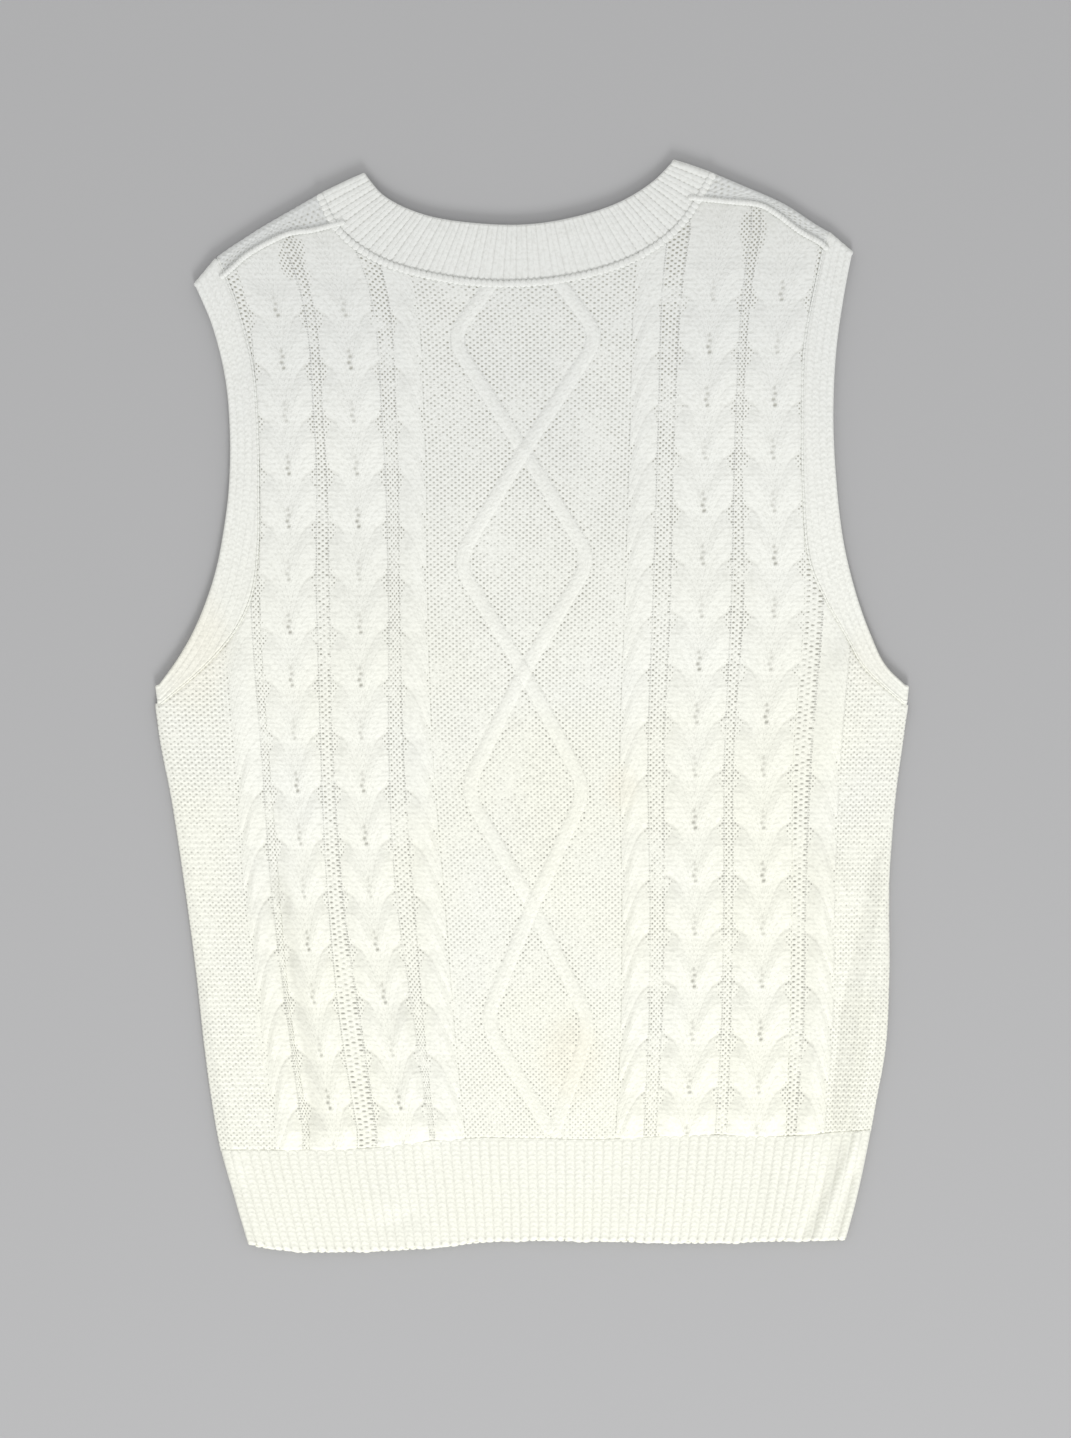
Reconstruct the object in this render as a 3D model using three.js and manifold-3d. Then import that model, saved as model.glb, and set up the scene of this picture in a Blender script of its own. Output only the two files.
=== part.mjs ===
// A cable-knit sweater vest laid flat on its front, so that its back is uppermost.
// Millimetres, +Z up. X runs across the garment and +Y runs from the hem to the neck.
// The origin is on the surface that the vest lies on, under the middle of its outline.
//
// Two layers of knitting lie on each other. The lower layer is the front, with its flat outer face down.
// The upper layer is the back, with its cables, diamond ribs and ribbing raised in its outer face.
import * as THREE from "three";
import { mergeVertices } from "three/addons/utils/BufferGeometryUtils.js";
import Module from "manifold-3d";

const wasm = await Module();
wasm.setup();

// Driving sizes
const clothThickness = 2.4; // one layer of plain knitting
const seamGap = 0.3; // clear space where two pieces are sewn together
const coursePitch = 3.32; // height of one row of stitches
const cablePitch = 10 * coursePitch; // a cable crosses every ten rows
const backUnder = clothThickness + seamGap; // underside of the upper layer
const backTop = backUnder + clothThickness; // plain outer face of the upper layer
const foldRadius = backTop / 2; // where the cloth turns over from one layer to the other
const cableHeight = 3.0;
const edgeRoll = 5; // width of the rounded side edges
const thinnestEdge = 0.5;
const loft = 0.9; // how far the springy upper layer stands off the lower one, away from its edges
const edgeFade = 9; // over this distance from an edge the upper layer comes down onto the lower one
const foldTaper = 30; // length over which each end of a fold runs out

// The body: where the left and the right side seam lie, from underarm to hem edge.
const bodyRows = [
  { y: 12, left: -235.6, right: 236.6 },
  { y: 4, left: -236.9, right: 236.9 },
  { y: -11, left: -235.6, right: 235 },
  { y: -59, left: -226.8, right: 228.6 },
  { y: -106, left: -219.6, right: 225 },
  { y: -169, left: -211.2, right: 224.9 },
  { y: -216, left: -206, right: 222.4 },
  { y: -248, left: -201.6, right: 216.7 },
  { y: -279, left: -195.9, right: 211 },
  { y: -311, left: -186.5, right: 204 },
  { y: -336, left: -178.6, right: 197.5 },
];

// The armholes, from shoulder fold to side: the open edge of each band and the seam that holds the band.
const armholeRows = {
  left: [
    { edge: [-212.5, 266.5], seam: [-197.8, 283.4] },
    { edge: [-201.6, 241], seam: [-187, 256] },
    { edge: [-193.4, 209], seam: [-176.2, 217] },
    { edge: [-190.3, 178], seam: [-172.8, 178] },
    { edge: [-190.4, 143], seam: [-172, 140] },
    { edge: [-193.4, 115], seam: [-172.4, 100] },
    { edge: [-199.7, 83], seam: [-176.5, 70] },
    { edge: [-211, 52], seam: [-187.5, 47] },
    { edge: [-222.5, 31], seam: [-205.5, 26] },
    { edge: [-236.2, 12], seam: [-235, 0.5] },
  ],
  right: [
    { edge: [201.6, 286.5], seam: [185.6, 299.8] },
    { edge: [196.8, 262], seam: [179.3, 270] },
    { edge: [191.5, 225], seam: [171.3, 228] },
    { edge: [189.6, 185], seam: [169.9, 180] },
    { edge: [191.2, 146], seam: [170.6, 135] },
    { edge: [196, 104], seam: [174.6, 92] },
    { edge: [204, 71], seam: [184.6, 68] },
    { edge: [212.5, 47], seam: [197.5, 45] },
    { edge: [222, 27], seam: [209, 25] },
    { edge: [236.6, 12], seam: [235.5, 0.5] },
  ],
};

// The shoulders, from left to right: the fold at the top, and the seam, which lies on the back under the fold.
const shoulderRows = {
  left: {
    fold: [
      [-212.5, 266.5], [-203.5, 278.5], [-177, 297.4], [-144.9, 316.3], [-122.9, 328.9], [-113, 334.2], [-105.8, 336.2],
    ],
    seam: [[-214, 256], [-191.5, 273], [-179.6, 283.5], [-166, 291.6], [-152, 297.6], [-139, 299.4], [-118, 304.5]],
  },
  right: {
    fold: [
      [89.5, 344.2], [98, 341.8], [112, 336.6], [130.4, 328.9], [158.8, 316.3], [178.3, 303.7], [199.1, 291], [202, 286],
    ],
    seam: [
      [99, 320], [124.7, 317.5], [143.6, 315.3], [152.5, 310.6], [168.8, 298.6], [181.4, 291.4], [190.5, 282.5], [204, 268],
    ],
  },
};

// The neck opening at the back: the band's open edge and its seam, from the left shoulder to the right one.
const neckRows = [
  { edge: [-105.8, 336.2], seam: [-134.2, 322.6] },
  { edge: [-93, 321.6], seam: [-122.4, 300.4] },
  { edge: [-68.7, 310], seam: [-98, 281.6] },
  { edge: [-36, 304.4], seam: [-58, 269.6] },
  { edge: [0, 303.8], seam: [-14, 265.8] },
  { edge: [33.4, 310], seam: [30, 270.6] },
  { edge: [57, 318.6], seam: [66, 282.6] },
  { edge: [76.5, 331], seam: [93, 302.5] },
  { edge: [89.5, 344.2], seam: [114.4, 335.7] },
];

// The neck opening at the front is a V, which lies hidden under the back: the points of its edge and of its seam.
const veePoint = { edge: [-8, 150], seam: [-8, 104] };

// The hem: the seam line over the ribbing and the open edge under it.
const hemRows = [
  { x: -197, seam: -279.5, edge: -336 },
  { x: -150, seam: -279.8, edge: -342.6 },
  { x: -102, seam: -278.6, edge: -342.6 },
  { x: -64, seam: -273.8, edge: -340.6 },
  { x: -30, seam: -271.8, edge: -337 },
  { x: 40, seam: -273.2, edge: -336.4 },
  { x: 105, seam: -270, edge: -337.6 },
  { x: 160, seam: -271, edge: -336.2 },
  { x: 210, seam: -267, edge: -335.4 },
];

// Where the cables run: the x of each cable's middle, from the neck to the hem.
const cableRows = [
  { y: 275, ropeL: -203, outerL: -167.6, innerL: -124.7, panelL: -85.7, panelR: 74.3, innerR: 115.3, outerR: 158.8, ropeR: 197.8 },
  { y: 175, ropeL: -186, outerL: -154.4, innerL: -112.1, panelL: -76.2, panelR: 70.6, innerR: 109, outerR: 151.6, ropeR: 194 },
  { y: 67, ropeL: -185.2, outerL: -153.1, innerL: -108.4, panelL: -74.3, panelR: 67.4, innerR: 106.5, outerR: 152.2, ropeR: 192.8 },
  { y: -33, ropeL: -178.3, outerL: -148.7, innerL: -107.1, panelL: -71.2, panelR: 64.2, innerR: 102.3, outerR: 145.5, ropeR: 185.2 },
  { y: -122, ropeL: -171.5, outerL: -143, innerL: -101.4, panelL: -64.3, panelR: 65.5, innerR: 102.1, outerR: 144.9, ropeR: 181.4 },
  { y: -197, ropeL: -161.9, outerL: -135.8, innerL: -90.7, panelL: -58.6, panelR: 64.9, innerR: 100.8, outerR: 143.6, ropeR: 180.2 },
  { y: -267, ropeL: -152.5, outerL: -124.7, innerL: -80.6, panelL: -51.7, panelR: 61.7, innerR: 97, outerR: 141.1, ropeR: 175.1 },
];

// The cables. A plait is two ropes that lean together into a V; lean tells which edge of a rope is the higher one.
// below is its share of the full width near the hem, and crossFrom the height under which it starts to cross.
const cables = {
  ropeL: { halfWidth: 9, plait: false, lean: 1, below: 1, crossFrom: -20, phase: 0 },
  outerL: { halfWidth: 18.2, plait: true, lean: 0, below: 0.84, crossFrom: 400, phase: 0 },
  innerL: { halfWidth: 18.8, plait: true, lean: 0, below: 0.9, crossFrom: 400, phase: 0 },
  panelL: { halfWidth: 8.8, plait: false, lean: -1, below: 1.1, crossFrom: 400, phase: 0 },
  panelR: { halfWidth: 9.2, plait: false, lean: 1, below: 1, crossFrom: 400, phase: 0.3 },
  innerR: { halfWidth: 19.4, plait: true, lean: 0, below: 0.98, crossFrom: 400, phase: 0.3 },
  outerR: { halfWidth: 19.2, plait: true, lean: 0, below: 0.97, crossFrom: 400, phase: 0.3 },
  ropeR: { halfWidth: 9.4, plait: false, lean: -1, below: 1, crossFrom: -20, phase: 0.3 },
};
const narrowFrom = 67; // the squeezed lower width starts at this height
const narrowTo = -122; // and is reached at this one
const firstCrossing = -252.6; // height of the lowest crossing on the left
const crossingRise = 0.95; // how far a strand climbs across its rope, in pitches
const valleyRise = 0.3; // height of the valley between a plait's two ropes, as a share of the full height
const straightRise = 0.8; // height of a rope over its first straight stretch

// The two ribs of the middle panel, which wind round each other into diamonds: their turns and crossings.
const diamondRibs = [
  [[-14, 281], [-51, 232], [-5.2, 160.7], [37.2, 93], [-5.2, 22.1], [-42, -52], [0.3, -125.4], [37.2, -200], [14, -266]],
  [[6, 281], [42.5, 233], [-5.2, 160.7], [-47.3, 91], [-5.2, 22.1], [34, -52], [0.3, -125.4], [-29.6, -198], [10, -264]],
];
const ribWidth = 6.6;
const ribHeight = 1.7;
const ribTurn = 14; // length over which a rib rounds each turn

// The largest folds of the upper layer. A fold is a soft ridge, or a trough where its height is negative.
const folds = [
  { name: "right side ridge", from: [215, -118], to: [205, -285], width: 6, height: 3.6 },
  { name: "right side trough", from: [209, -146], to: [190, -300], width: 6, height: -1.6 },
  { name: "left side seam ridge", from: [-210, -165], to: [-184, -290], width: 5.5, height: 2.2 },
  { name: "left cable trough", from: [-160, -105], to: [-134, -272], width: 7, height: -1.3 },
  { name: "left cable ridge", from: [-166, -120], to: [-146, -250], width: 8, height: 1.6 },
  { name: "left inner ridge", from: [-84, -190], to: [-67, -272], width: 7, height: 3.2 },
  { name: "left hem dent", from: [-100, -326], to: [-74, -324], width: 8, height: -1.0 },
  { name: "right underarm puff", from: [197, 36], to: [193, -24], width: 8, height: 2.4 },
  { name: "left underarm puff", from: [-187, 36], to: [-183, -20], width: 9, height: 1.8 },
  { name: "right cross crease", from: [84, -24], to: [170, -24], width: 5, height: -0.8 },
  { name: "middle swell", from: [-10, 60], to: [0, -120], width: 40, height: 1.4 },
  { name: "hem middle ridge", from: [22, -205], to: [28, -262], width: 11, height: 1.6 },
];

const hemRibs = 68;
const hemRibHeight = 1.2;
const neckRibs = 36;
const neckRibHeight = 1.3;
const bandCords = 4; // raised lines that run along an armhole band
const bandCordHeight = 0.5;

// Lines and interpolation

const lerp = (a, b, t) => a + (b - a) * t;

function smoothStep(t) {
  const s = Math.min(1, Math.max(0, t));
  return s * s * (3 - 2 * s);
}

// The value of a table's column at a place along its key column, in a straight line from row to row.
function tableValue(rows, key, column, at) {
  const rising = rows[0][key] < rows[rows.length - 1][key];
  const ordered = rising ? rows : [...rows].reverse();
  if (at <= ordered[0][key]) return ordered[0][column];
  const upper = ordered.findIndex((row) => row[key] >= at);
  if (upper < 0) return ordered[ordered.length - 1][column];
  const [a, b] = [ordered[upper - 1], ordered[upper]];
  return lerp(a[column], b[column], (at - a[key]) / (b[key] - a[key]));
}

// A smooth line through a few [x, y] points, as steps + 1 evenly spaced points.
function smoothLine(points, steps) {
  const through = points.map(([x, y]) => new THREE.Vector3(x, y, 0));
  const curve = new THREE.CatmullRomCurve3(through, false, "centripetal");
  return curve.getSpacedPoints(steps).map((p) => [p.x, p.y]);
}

// The line moved sideways, to the left of its direction when distance is positive.
function offsetLine(line, distance) {
  return line.map(([x, y], i) => {
    const [ax, ay] = line[Math.max(0, i - 1)];
    const [bx, by] = line[Math.min(line.length - 1, i + 1)];
    const length = Math.hypot(bx - ax, by - ay);
    return [x - (distance * (by - ay)) / length, y + (distance * (bx - ax)) / length];
  });
}

// Height by which the upper layer stands off the lower one, with its folds. It fades out towards the edges.
function foldHeight(x, y) {
  let height = loft;
  for (const { from, to, width, height: peak } of folds) {
    const [dx, dy] = [to[0] - from[0], to[1] - from[1]];
    const length = Math.hypot(dx, dy);
    const along = ((x - from[0]) * dx + (y - from[1]) * dy) / length;
    const aside = ((x - from[0]) * dy - (y - from[1]) * dx) / length;
    const taper = smoothStep(0.5 + along / foldTaper) * smoothStep(0.5 + (length - along) / foldTaper);
    height += peak * taper * Math.exp(-((aside / width) ** 2));
  }
  const toLeft = x - tableValue(bodyRows, "y", "left", y);
  const toRight = tableValue(bodyRows, "y", "right", y) - x;
  const toShoulders = armholeRows.left[0].edge[1] - y;
  const toHem = y - bodyRows[bodyRows.length - 1].y;
  return Math.max(0, height) * smoothStep(Math.min(toLeft, toRight, toShoulders, toHem) / edgeFade);
}

// How far the outer face drops where the side edges round down to the seam with the front.
function edgeDrop(distance) {
  const inside = Math.min(1, Math.max(0, distance / edgeRoll));
  return (clothThickness - thinnestEdge) * (1 - Math.sqrt(1 - (1 - inside) ** 2));
}

// Solids

const wallFloor = -10; // the upper layer's pieces are first made down to this height
const spaceFloor = -20; // and the space under them down to this one

// A three.js geometry as a solid that can be joined and cut.
function solidOf(geometry) {
  const bare = geometry.clone();
  bare.deleteAttribute("normal");
  bare.deleteAttribute("uv");
  const merged = mergeVertices(bare, 1e-4);
  return new wasm.Manifold(
    new wasm.Mesh({
      numProp: 3,
      vertProperties: new Float32Array(merged.attributes.position.array),
      triVerts: new Uint32Array(merged.index.array),
    }),
  );
}

function meshOf(name, solid, colour) {
  const { vertProperties, triVerts } = solid.getMesh();
  const geometry = new THREE.BufferGeometry();
  geometry.setAttribute("position", new THREE.BufferAttribute(new Float32Array(vertProperties), 3));
  geometry.setIndex(new THREE.BufferAttribute(new Uint32Array(triVerts), 1));
  geometry.computeVertexNormals();
  const material = new THREE.MeshStandardMaterial({ color: colour, roughness: 0.95, metalness: 0 });
  const mesh = new THREE.Mesh(geometry, material);
  mesh.name = name;
  return mesh;
}

// The solid under a surface, down to a flat floor. rows[i][j] is a point [x, y, z], with x rising along j
// and y rising along i.
function underSurface(rows, floor) {
  const [count, width] = [rows.length, rows[0].length];
  const base = count * width;
  const top = (i, j) => i * width + j;
  const bottom = (i, j) => base + top(i, j);
  const positions = [...rows.flat(2), ...rows.flat().flatMap(([x, y]) => [x, y, floor])];
  const faces = [];
  const quad = (a, b, c, d) => faces.push(a, b, c, a, c, d);
  for (let i = 0; i < count - 1; i += 1) {
    for (let j = 0; j < width - 1; j += 1) {
      quad(top(i, j), top(i, j + 1), top(i + 1, j + 1), top(i + 1, j));
      quad(bottom(i, j), bottom(i + 1, j), bottom(i + 1, j + 1), bottom(i, j + 1));
    }
    quad(top(i, 0), top(i + 1, 0), bottom(i + 1, 0), bottom(i, 0));
    quad(top(i + 1, width - 1), top(i, width - 1), bottom(i, width - 1), bottom(i + 1, width - 1));
  }
  for (let j = 0; j < width - 1; j += 1) {
    quad(top(0, j + 1), top(0, j), bottom(0, j), bottom(0, j + 1));
    quad(top(count - 1, j), top(count - 1, j + 1), bottom(count - 1, j + 1), bottom(count - 1, j));
  }
  const geometry = new THREE.BufferGeometry();
  geometry.setAttribute("position", new THREE.Float32BufferAttribute(positions, 3));
  geometry.setIndex(faces);
  return solidOf(geometry);
}

// The upright solid over a closed outline of [x, y] points.
function prism(outline, bottom, top) {
  const shape = new THREE.Shape(outline.map(([x, y]) => new THREE.Vector2(x, y)));
  const geometry = new THREE.ExtrudeGeometry(shape, { depth: top - bottom, bevelEnabled: false, steps: 1 });
  geometry.translate(0, 0, bottom);
  return solidOf(geometry);
}

// The rounded turn of the cloth along a line, from one layer to the other.
function foldTurn(line) {
  const section = new THREE.Shape();
  section.absarc(0, 0, foldRadius, 0, 2 * Math.PI);
  const points = line.map(([x, y]) => new THREE.Vector3(x, y, foldRadius));
  const extrudePath = new THREE.CatmullRomCurve3(points, false, "centripetal");
  return solidOf(new THREE.ExtrudeGeometry(section, { steps: line.length - 1, curveSegments: 8, extrudePath }));
}

// What lies under the upper layer: its outer faces are cut back to a wall by taking this away. It follows the
// lowest height round each of its points, so that the wall is nowhere thinner than the cloth.
function spaceUnderBack() {
  const [reachX, reachY, stepsX, stepsY] = [250, 356, 14, 20];
  const around = [-1, -0.5, 0, 0.5, 1];
  const rows = [];
  for (let i = 0; i <= stepsY; i += 1) {
    const y = lerp(-reachY, reachY, i / stepsY);
    const row = [];
    for (let j = 0; j <= stepsX; j += 1) {
      const x = lerp(-reachX, reachX, j / stepsX);
      const [cellX, cellY] = [(2 * reachX) / stepsX, (2 * reachY) / stepsY];
      const near = around.flatMap((p) => around.map((q) => foldHeight(x + p * cellX, y + q * cellY)));
      row.push([x, y, backUnder + Math.min(...near)]);
    }
    rows.push(row);
  }
  return underSurface(rows, spaceFloor);
}

const underBack = spaceUnderBack();

// A strip of the upper layer between two lines, as a wall. height(u, v) is its relief, u along it and v across.
function stripWall(firstLine, secondLine, across, height) {
  const rows = across.map((v) =>
    firstLine.map(([firstX, firstY], j) => {
      const [x, y] = [lerp(firstX, secondLine[j][0], v), lerp(firstY, secondLine[j][1], v)];
      return [x, y, backTop + foldHeight(x, y) + height(j / (firstLine.length - 1), v)];
    }),
  );
  return underSurface(rows, wallFloor).subtract(underBack);
}

// Seam and edge lines, each a list of [x, y] points

const half = seamGap / 2;
const sides = ["left", "right"];
const outward = { left: -1, right: 1 };
const sideLine = {};
const armholeEdge = {};
const armholeSeam = {};
const shoulderFold = {};
const shoulderSeam = {};
for (const side of sides) {
  sideLine[side] = smoothLine(bodyRows.map((row) => [row[side], row.y]), 30);
  armholeEdge[side] = smoothLine(armholeRows[side].map((row) => row.edge), 24);
  armholeSeam[side] = smoothLine(armholeRows[side].map((row) => row.seam), 24);
  shoulderFold[side] = smoothLine(shoulderRows[side].fold, 16);
  shoulderSeam[side] = smoothLine(shoulderRows[side].seam, 16);
}
const neckEdge = smoothLine(neckRows.map((row) => row.edge), 3 * neckRibs);
const neckSeam = smoothLine(neckRows.map((row) => row.seam), 3 * neckRibs);
const everyNth = (line, n) => line.filter((_, i) => i % n === 0);

const hemSeamAt = (x) => tableValue(hemRows, "x", "seam", x);
const hemEdgeAt = (x) => tableValue(hemRows, "x", "edge", x);
const bottom = bodyRows[bodyRows.length - 1];
const hemTop = bodyRows[bodyRows.length - 3];
const hemColumns = 3 * hemRibs;
const hemSeam = [];
const hemEdge = [];
for (let i = 0; i <= hemColumns; i += 1) {
  const seamX = lerp(hemTop.left, hemTop.right, i / hemColumns);
  const edgeX = lerp(bottom.left, bottom.right, i / hemColumns);
  hemSeam.push([seamX, hemSeamAt(seamX)]);
  hemEdge.push([edgeX, hemEdgeAt(edgeX)]);
}

// The line made longer at both ends.
function lengthened(line, length) {
  const reach = ([ax, ay], [bx, by]) => {
    const ratio = length / Math.hypot(ax - bx, ay - by);
    return [ax + (ax - bx) * ratio, ay + (ay - by) * ratio];
  };
  return [reach(line[0], line[1]), ...line, reach(line[line.length - 1], line[line.length - 2])];
}

const overlap = 8; // how far a cutting line runs past the piece that it cuts
const [low, high] = [wallFloor - 1, 30]; // what cuts reaches from under to over the garment
const far = { x: 262, y: 366 }; // outside the garment

// What lies beyond an armhole seam: taken away from the panels.
function beyondArmhole(side) {
  const seam = lengthened(offsetLine(armholeSeam[side], -outward[side] * half), overlap);
  const x = outward[side] * far.x;
  const outline = [...seam, [x, seam[seam.length - 1][1]], [x, seam[0][1]]];
  return prism(side === "left" ? outline : outline.reverse(), low, high);
}

// What lies above the seam of the neckband on the back, and below in the same way on the front.
const backNeck = prism(
  [...lengthened(offsetLine(everyNth(neckSeam, 4), -half), overlap), [far.x / 2, far.y], [-far.x / 2, far.y]],
  foldRadius - half,
  high,
);

// The V's line from the left shoulder to its point and up to the right shoulder, moved down by a distance.
function veeLine(name, down) {
  const [start, end] = [neckRows[0][name], neckRows[neckRows.length - 1][name]];
  const [first] = offsetLine([start, veePoint[name]], -down);
  const [, last] = offsetLine([veePoint[name], end], -down);
  const point = [veePoint[name][0], veePoint[name][1] - 2 * down];
  return lengthened([first, point, last], overlap);
}

const frontNeck = prism(
  [...veeLine("seam", half), [far.x / 2, far.y], [-far.x / 2, far.y]],
  low,
  foldRadius + half,
);

// Where the cloth turns over: along the shoulders, and at the end of each armhole band, round the side.
const turnLines = {};
const bandTurnLines = {};
const bandTurn = { low: -6, middle: 4, high: 15 }; // heights along the side
for (const side of sides) {
  turnLines[side] = offsetLine(shoulderFold[side], -foldRadius);
  const places = Object.values(bandTurn).map((y) => [tableValue(bodyRows, "y", side, y), y]);
  bandTurnLines[side] = offsetLine(smoothLine(places, 4), outward[side] * foldRadius);
}
const shoulderTurns = foldTurn(lengthened(turnLines.left, 1)).add(foldTurn(lengthened(turnLines.right, 1)));

// The space inside those turns, within which the layers lie.
const insideTurns = prism(
  [
    [-far.x, -far.y],
    [far.x, -far.y],
    [far.x, bandTurn.low],
    ...bandTurnLines.right,
    [far.x, bandTurn.high],
    [far.x, turnLines.right[turnLines.right.length - 1][1] - 4],
    ...[...turnLines.right].reverse(),
    [turnLines.right[0][0] - 6, far.y],
    [turnLines.left[turnLines.left.length - 1][0] + 6, far.y],
    ...[...turnLines.left].reverse(),
    [-far.x, turnLines.left[0][1] - 4],
    [-far.x, bandTurn.high],
    ...[...bandTurnLines.left].reverse(),
    [-far.x, bandTurn.low],
  ],
  low,
  high,
);

// Relief of one rope of a cable, as a share of its full height, at a place between two creases. A strand
// swells there and then dives under the next one.
function strandSwell(phase) {
  return phase < 0.66 ? lerp(0.35, 1, smoothStep(phase / 0.66)) : lerp(1, 0.3, smoothStep((phase - 0.8) / 0.2));
}

// The climb of a crease at a place across a cable, from 0 to 1. side is -1 at the left edge and 1 at the right.
function creaseClimb(cable, side) {
  const share = cable.plait ? Math.abs(side) : (1 + cable.lean * side) / 2;
  return 1 - (1 - share) ** (cable.plait ? 3 : 2);
}

function cableHalfWidth(cable, y) {
  const down = smoothStep((narrowFrom - y) / (narrowFrom - narrowTo));
  return cable.halfWidth * lerp(1, cable.below, down);
}

// The columns of the back's grid from left to right. Each has its x at a height, its crease climb, its relief
// and its phase.
function backColumns() {
  const edge = (side, inset) => ({
    at: (y) => tableValue(bodyRows, "y", side, y) + (side === "left" ? inset : -inset),
    climb: 0,
    relief: () => -edgeDrop(inset),
    phase: side === "left" ? 0 : cables.ropeR.phase,
  });
  const columns = [edge("left", -0.6), edge("left", 1.4), edge("left", edgeRoll)];
  for (const [name, cable] of Object.entries(cables)) {
    if (name === "panelR") {
      columns.push({
        at: (y) => (tableValue(cableRows, "y", "panelL", y) + tableValue(cableRows, "y", "panelR", y)) / 2,
        climb: 0,
        relief: () => 0,
        phase: (cables.panelL.phase + cables.panelR.phase) / 2,
      });
    }
    const places = cable.plait ? [-1, -0.7, -0.28, 0, 0.28, 0.7, 1] : [-1, -0.5, 0.5, 1];
    for (const side of places) {
      const rise = Math.abs(side) === 1 ? 0 : side === 0 ? valleyRise : 1;
      columns.push({
        at: (y) => tableValue(cableRows, "y", name, y) + side * cableHalfWidth(cable, y),
        climb: creaseClimb(cable, side),
        relief: (y, phase) => cableHeight * rise * (y < cable.crossFrom ? strandSwell(phase) : straightRise),
        phase: cable.phase,
      });
    }
  }
  columns.push(edge("right", edgeRoll), edge("right", 1.4), edge("right", -0.6));
  return columns;
}

function backSurface() {
  const columns = backColumns();
  const phases = [0.02, 0.34, 0.84];
  const firstPitch = -3;
  const lastPitch = 17;
  const rows = [];
  for (let pitch = firstPitch; pitch < lastPitch; pitch += 1) {
    for (const phase of phases) {
      rows.push(
        columns.map((column) => {
          const y = firstCrossing + cablePitch * (pitch + phase + column.phase + crossingRise * column.climb);
          const x = column.at(y);
          return [x, y, backTop + foldHeight(x, y) + column.relief(y, phase)];
        }),
      );
    }
  }
  return rows;
}

// A raised rib of the diamonds, which follows its turns with rounded corners.
function diamondRib(turns) {
  const path = new THREE.CurvePath();
  const corners = turns.map(([x, y]) => new THREE.Vector2(x, y));
  let from = corners[0];
  for (let i = 1; i < corners.length - 1; i += 1) {
    const before = corners[i].clone().lerp(corners[i - 1], ribTurn / corners[i].distanceTo(corners[i - 1]));
    const after = corners[i].clone().lerp(corners[i + 1], ribTurn / corners[i].distanceTo(corners[i + 1]));
    path.add(new THREE.LineCurve(from, before));
    path.add(new THREE.QuadraticBezierCurve(before, corners[i], after));
    from = after;
  }
  path.add(new THREE.LineCurve(from, corners[corners.length - 1]));
  const middle = path.getPoints(3).map((p) => [p.x, p.y]);
  const section = [
    { aside: 0.5, rise: -0.6 },
    { aside: 0.28, rise: ribHeight },
    { aside: -0.28, rise: ribHeight },
    { aside: -0.5, rise: -0.6 },
  ];
  const lines = section.map(({ aside }) => offsetLine(middle, -aside * ribWidth));
  const positions = middle.flatMap((_, i) =>
    section.flatMap(({ rise }, k) => {
      const [x, y] = lines[k][i];
      return [x, y, backTop + foldHeight(x, y) + rise];
    }),
  );
  const faces = [];
  const count = section.length;
  for (let i = 0; i < middle.length - 1; i += 1) {
    for (let k = 0; k < count; k += 1) {
      const next = (k + 1) % count;
      const [a, b, c, d] = [i * count + k, i * count + next, (i + 1) * count + next, (i + 1) * count + k];
      faces.push(a, c, b, a, d, c);
    }
  }
  const end = (middle.length - 1) * count;
  faces.push(0, 1, 2, 0, 2, 3, end, end + 2, end + 1, end, end + 3, end + 2);
  const geometry = new THREE.BufferGeometry();
  geometry.setAttribute("position", new THREE.Float32BufferAttribute(positions, 3));
  geometry.setIndex(faces);
  return solidOf(geometry);
}

// What lies between the shoulder seams and the hem seam, and between the sides: both panels are cut from it.
function panelOutline(top) {
  return [
    ...offsetLine(everyNth(hemSeam, 6), half),
    ...sideLine.right.filter(([x, y]) => y > hemSeamAt(x) + 4).reverse(),
    [far.x, 14],
    ...top,
    [-far.x, 14],
    ...sideLine.left.filter(([x, y]) => y > hemSeamAt(x) + 4),
  ];
}

const armholes = beyondArmhole("left").add(beyondArmhole("right"));

// Back panel: reverse stocking stitch with eight cables and the two diamond ribs.
function backPanel() {
  const top = [
    ...offsetLine(shoulderSeam.right, -half).reverse(),
    ...offsetLine(shoulderSeam.left, -half).reverse(),
  ];
  const cut = prism(panelOutline(top), low, high).subtract(backNeck).subtract(armholes);
  const [first, second] = diamondRibs.map(diamondRib);
  return underSurface(backSurface(), wallFloor).add(first).add(second).subtract(underBack).intersect(cut);
}

// Front panel: plain reverse stocking stitch, which turns over the shoulders and ends at the shoulder seams.
function frontPanel() {
  const under = prism(panelOutline([[far.x, far.y], [-far.x, far.y]]), 0, clothThickness);
  const over = sides.map((side) =>
    stripWall(offsetLine(shoulderSeam[side], half), offsetLine(shoulderFold[side], 1), [0, 1], () => 0),
  );
  const layers = under.add(over[0]).add(over[1]).intersect(insideTurns);
  return layers.add(shoulderTurns).subtract(backNeck).subtract(frontNeck).subtract(armholes);
}

// Hem ribbing: a narrow groove in front of each wide rib.
function hemBack() {
  const height = (u) => {
    const inset = Math.min(u, 1 - u) * (bottom.right - bottom.left);
    const rib = Math.round(u * hemColumns) % 3 === 0 ? 0 : hemRibHeight;
    return rib - edgeDrop(inset);
  };
  return stripWall(hemEdge, offsetLine(hemSeam, -half), [0, 0.5, 1], height);
}

function hemFront() {
  return prism([...everyNth(hemEdge, 6), ...offsetLine(everyNth(hemSeam, 6), -half).reverse()], 0, clothThickness);
}

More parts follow.
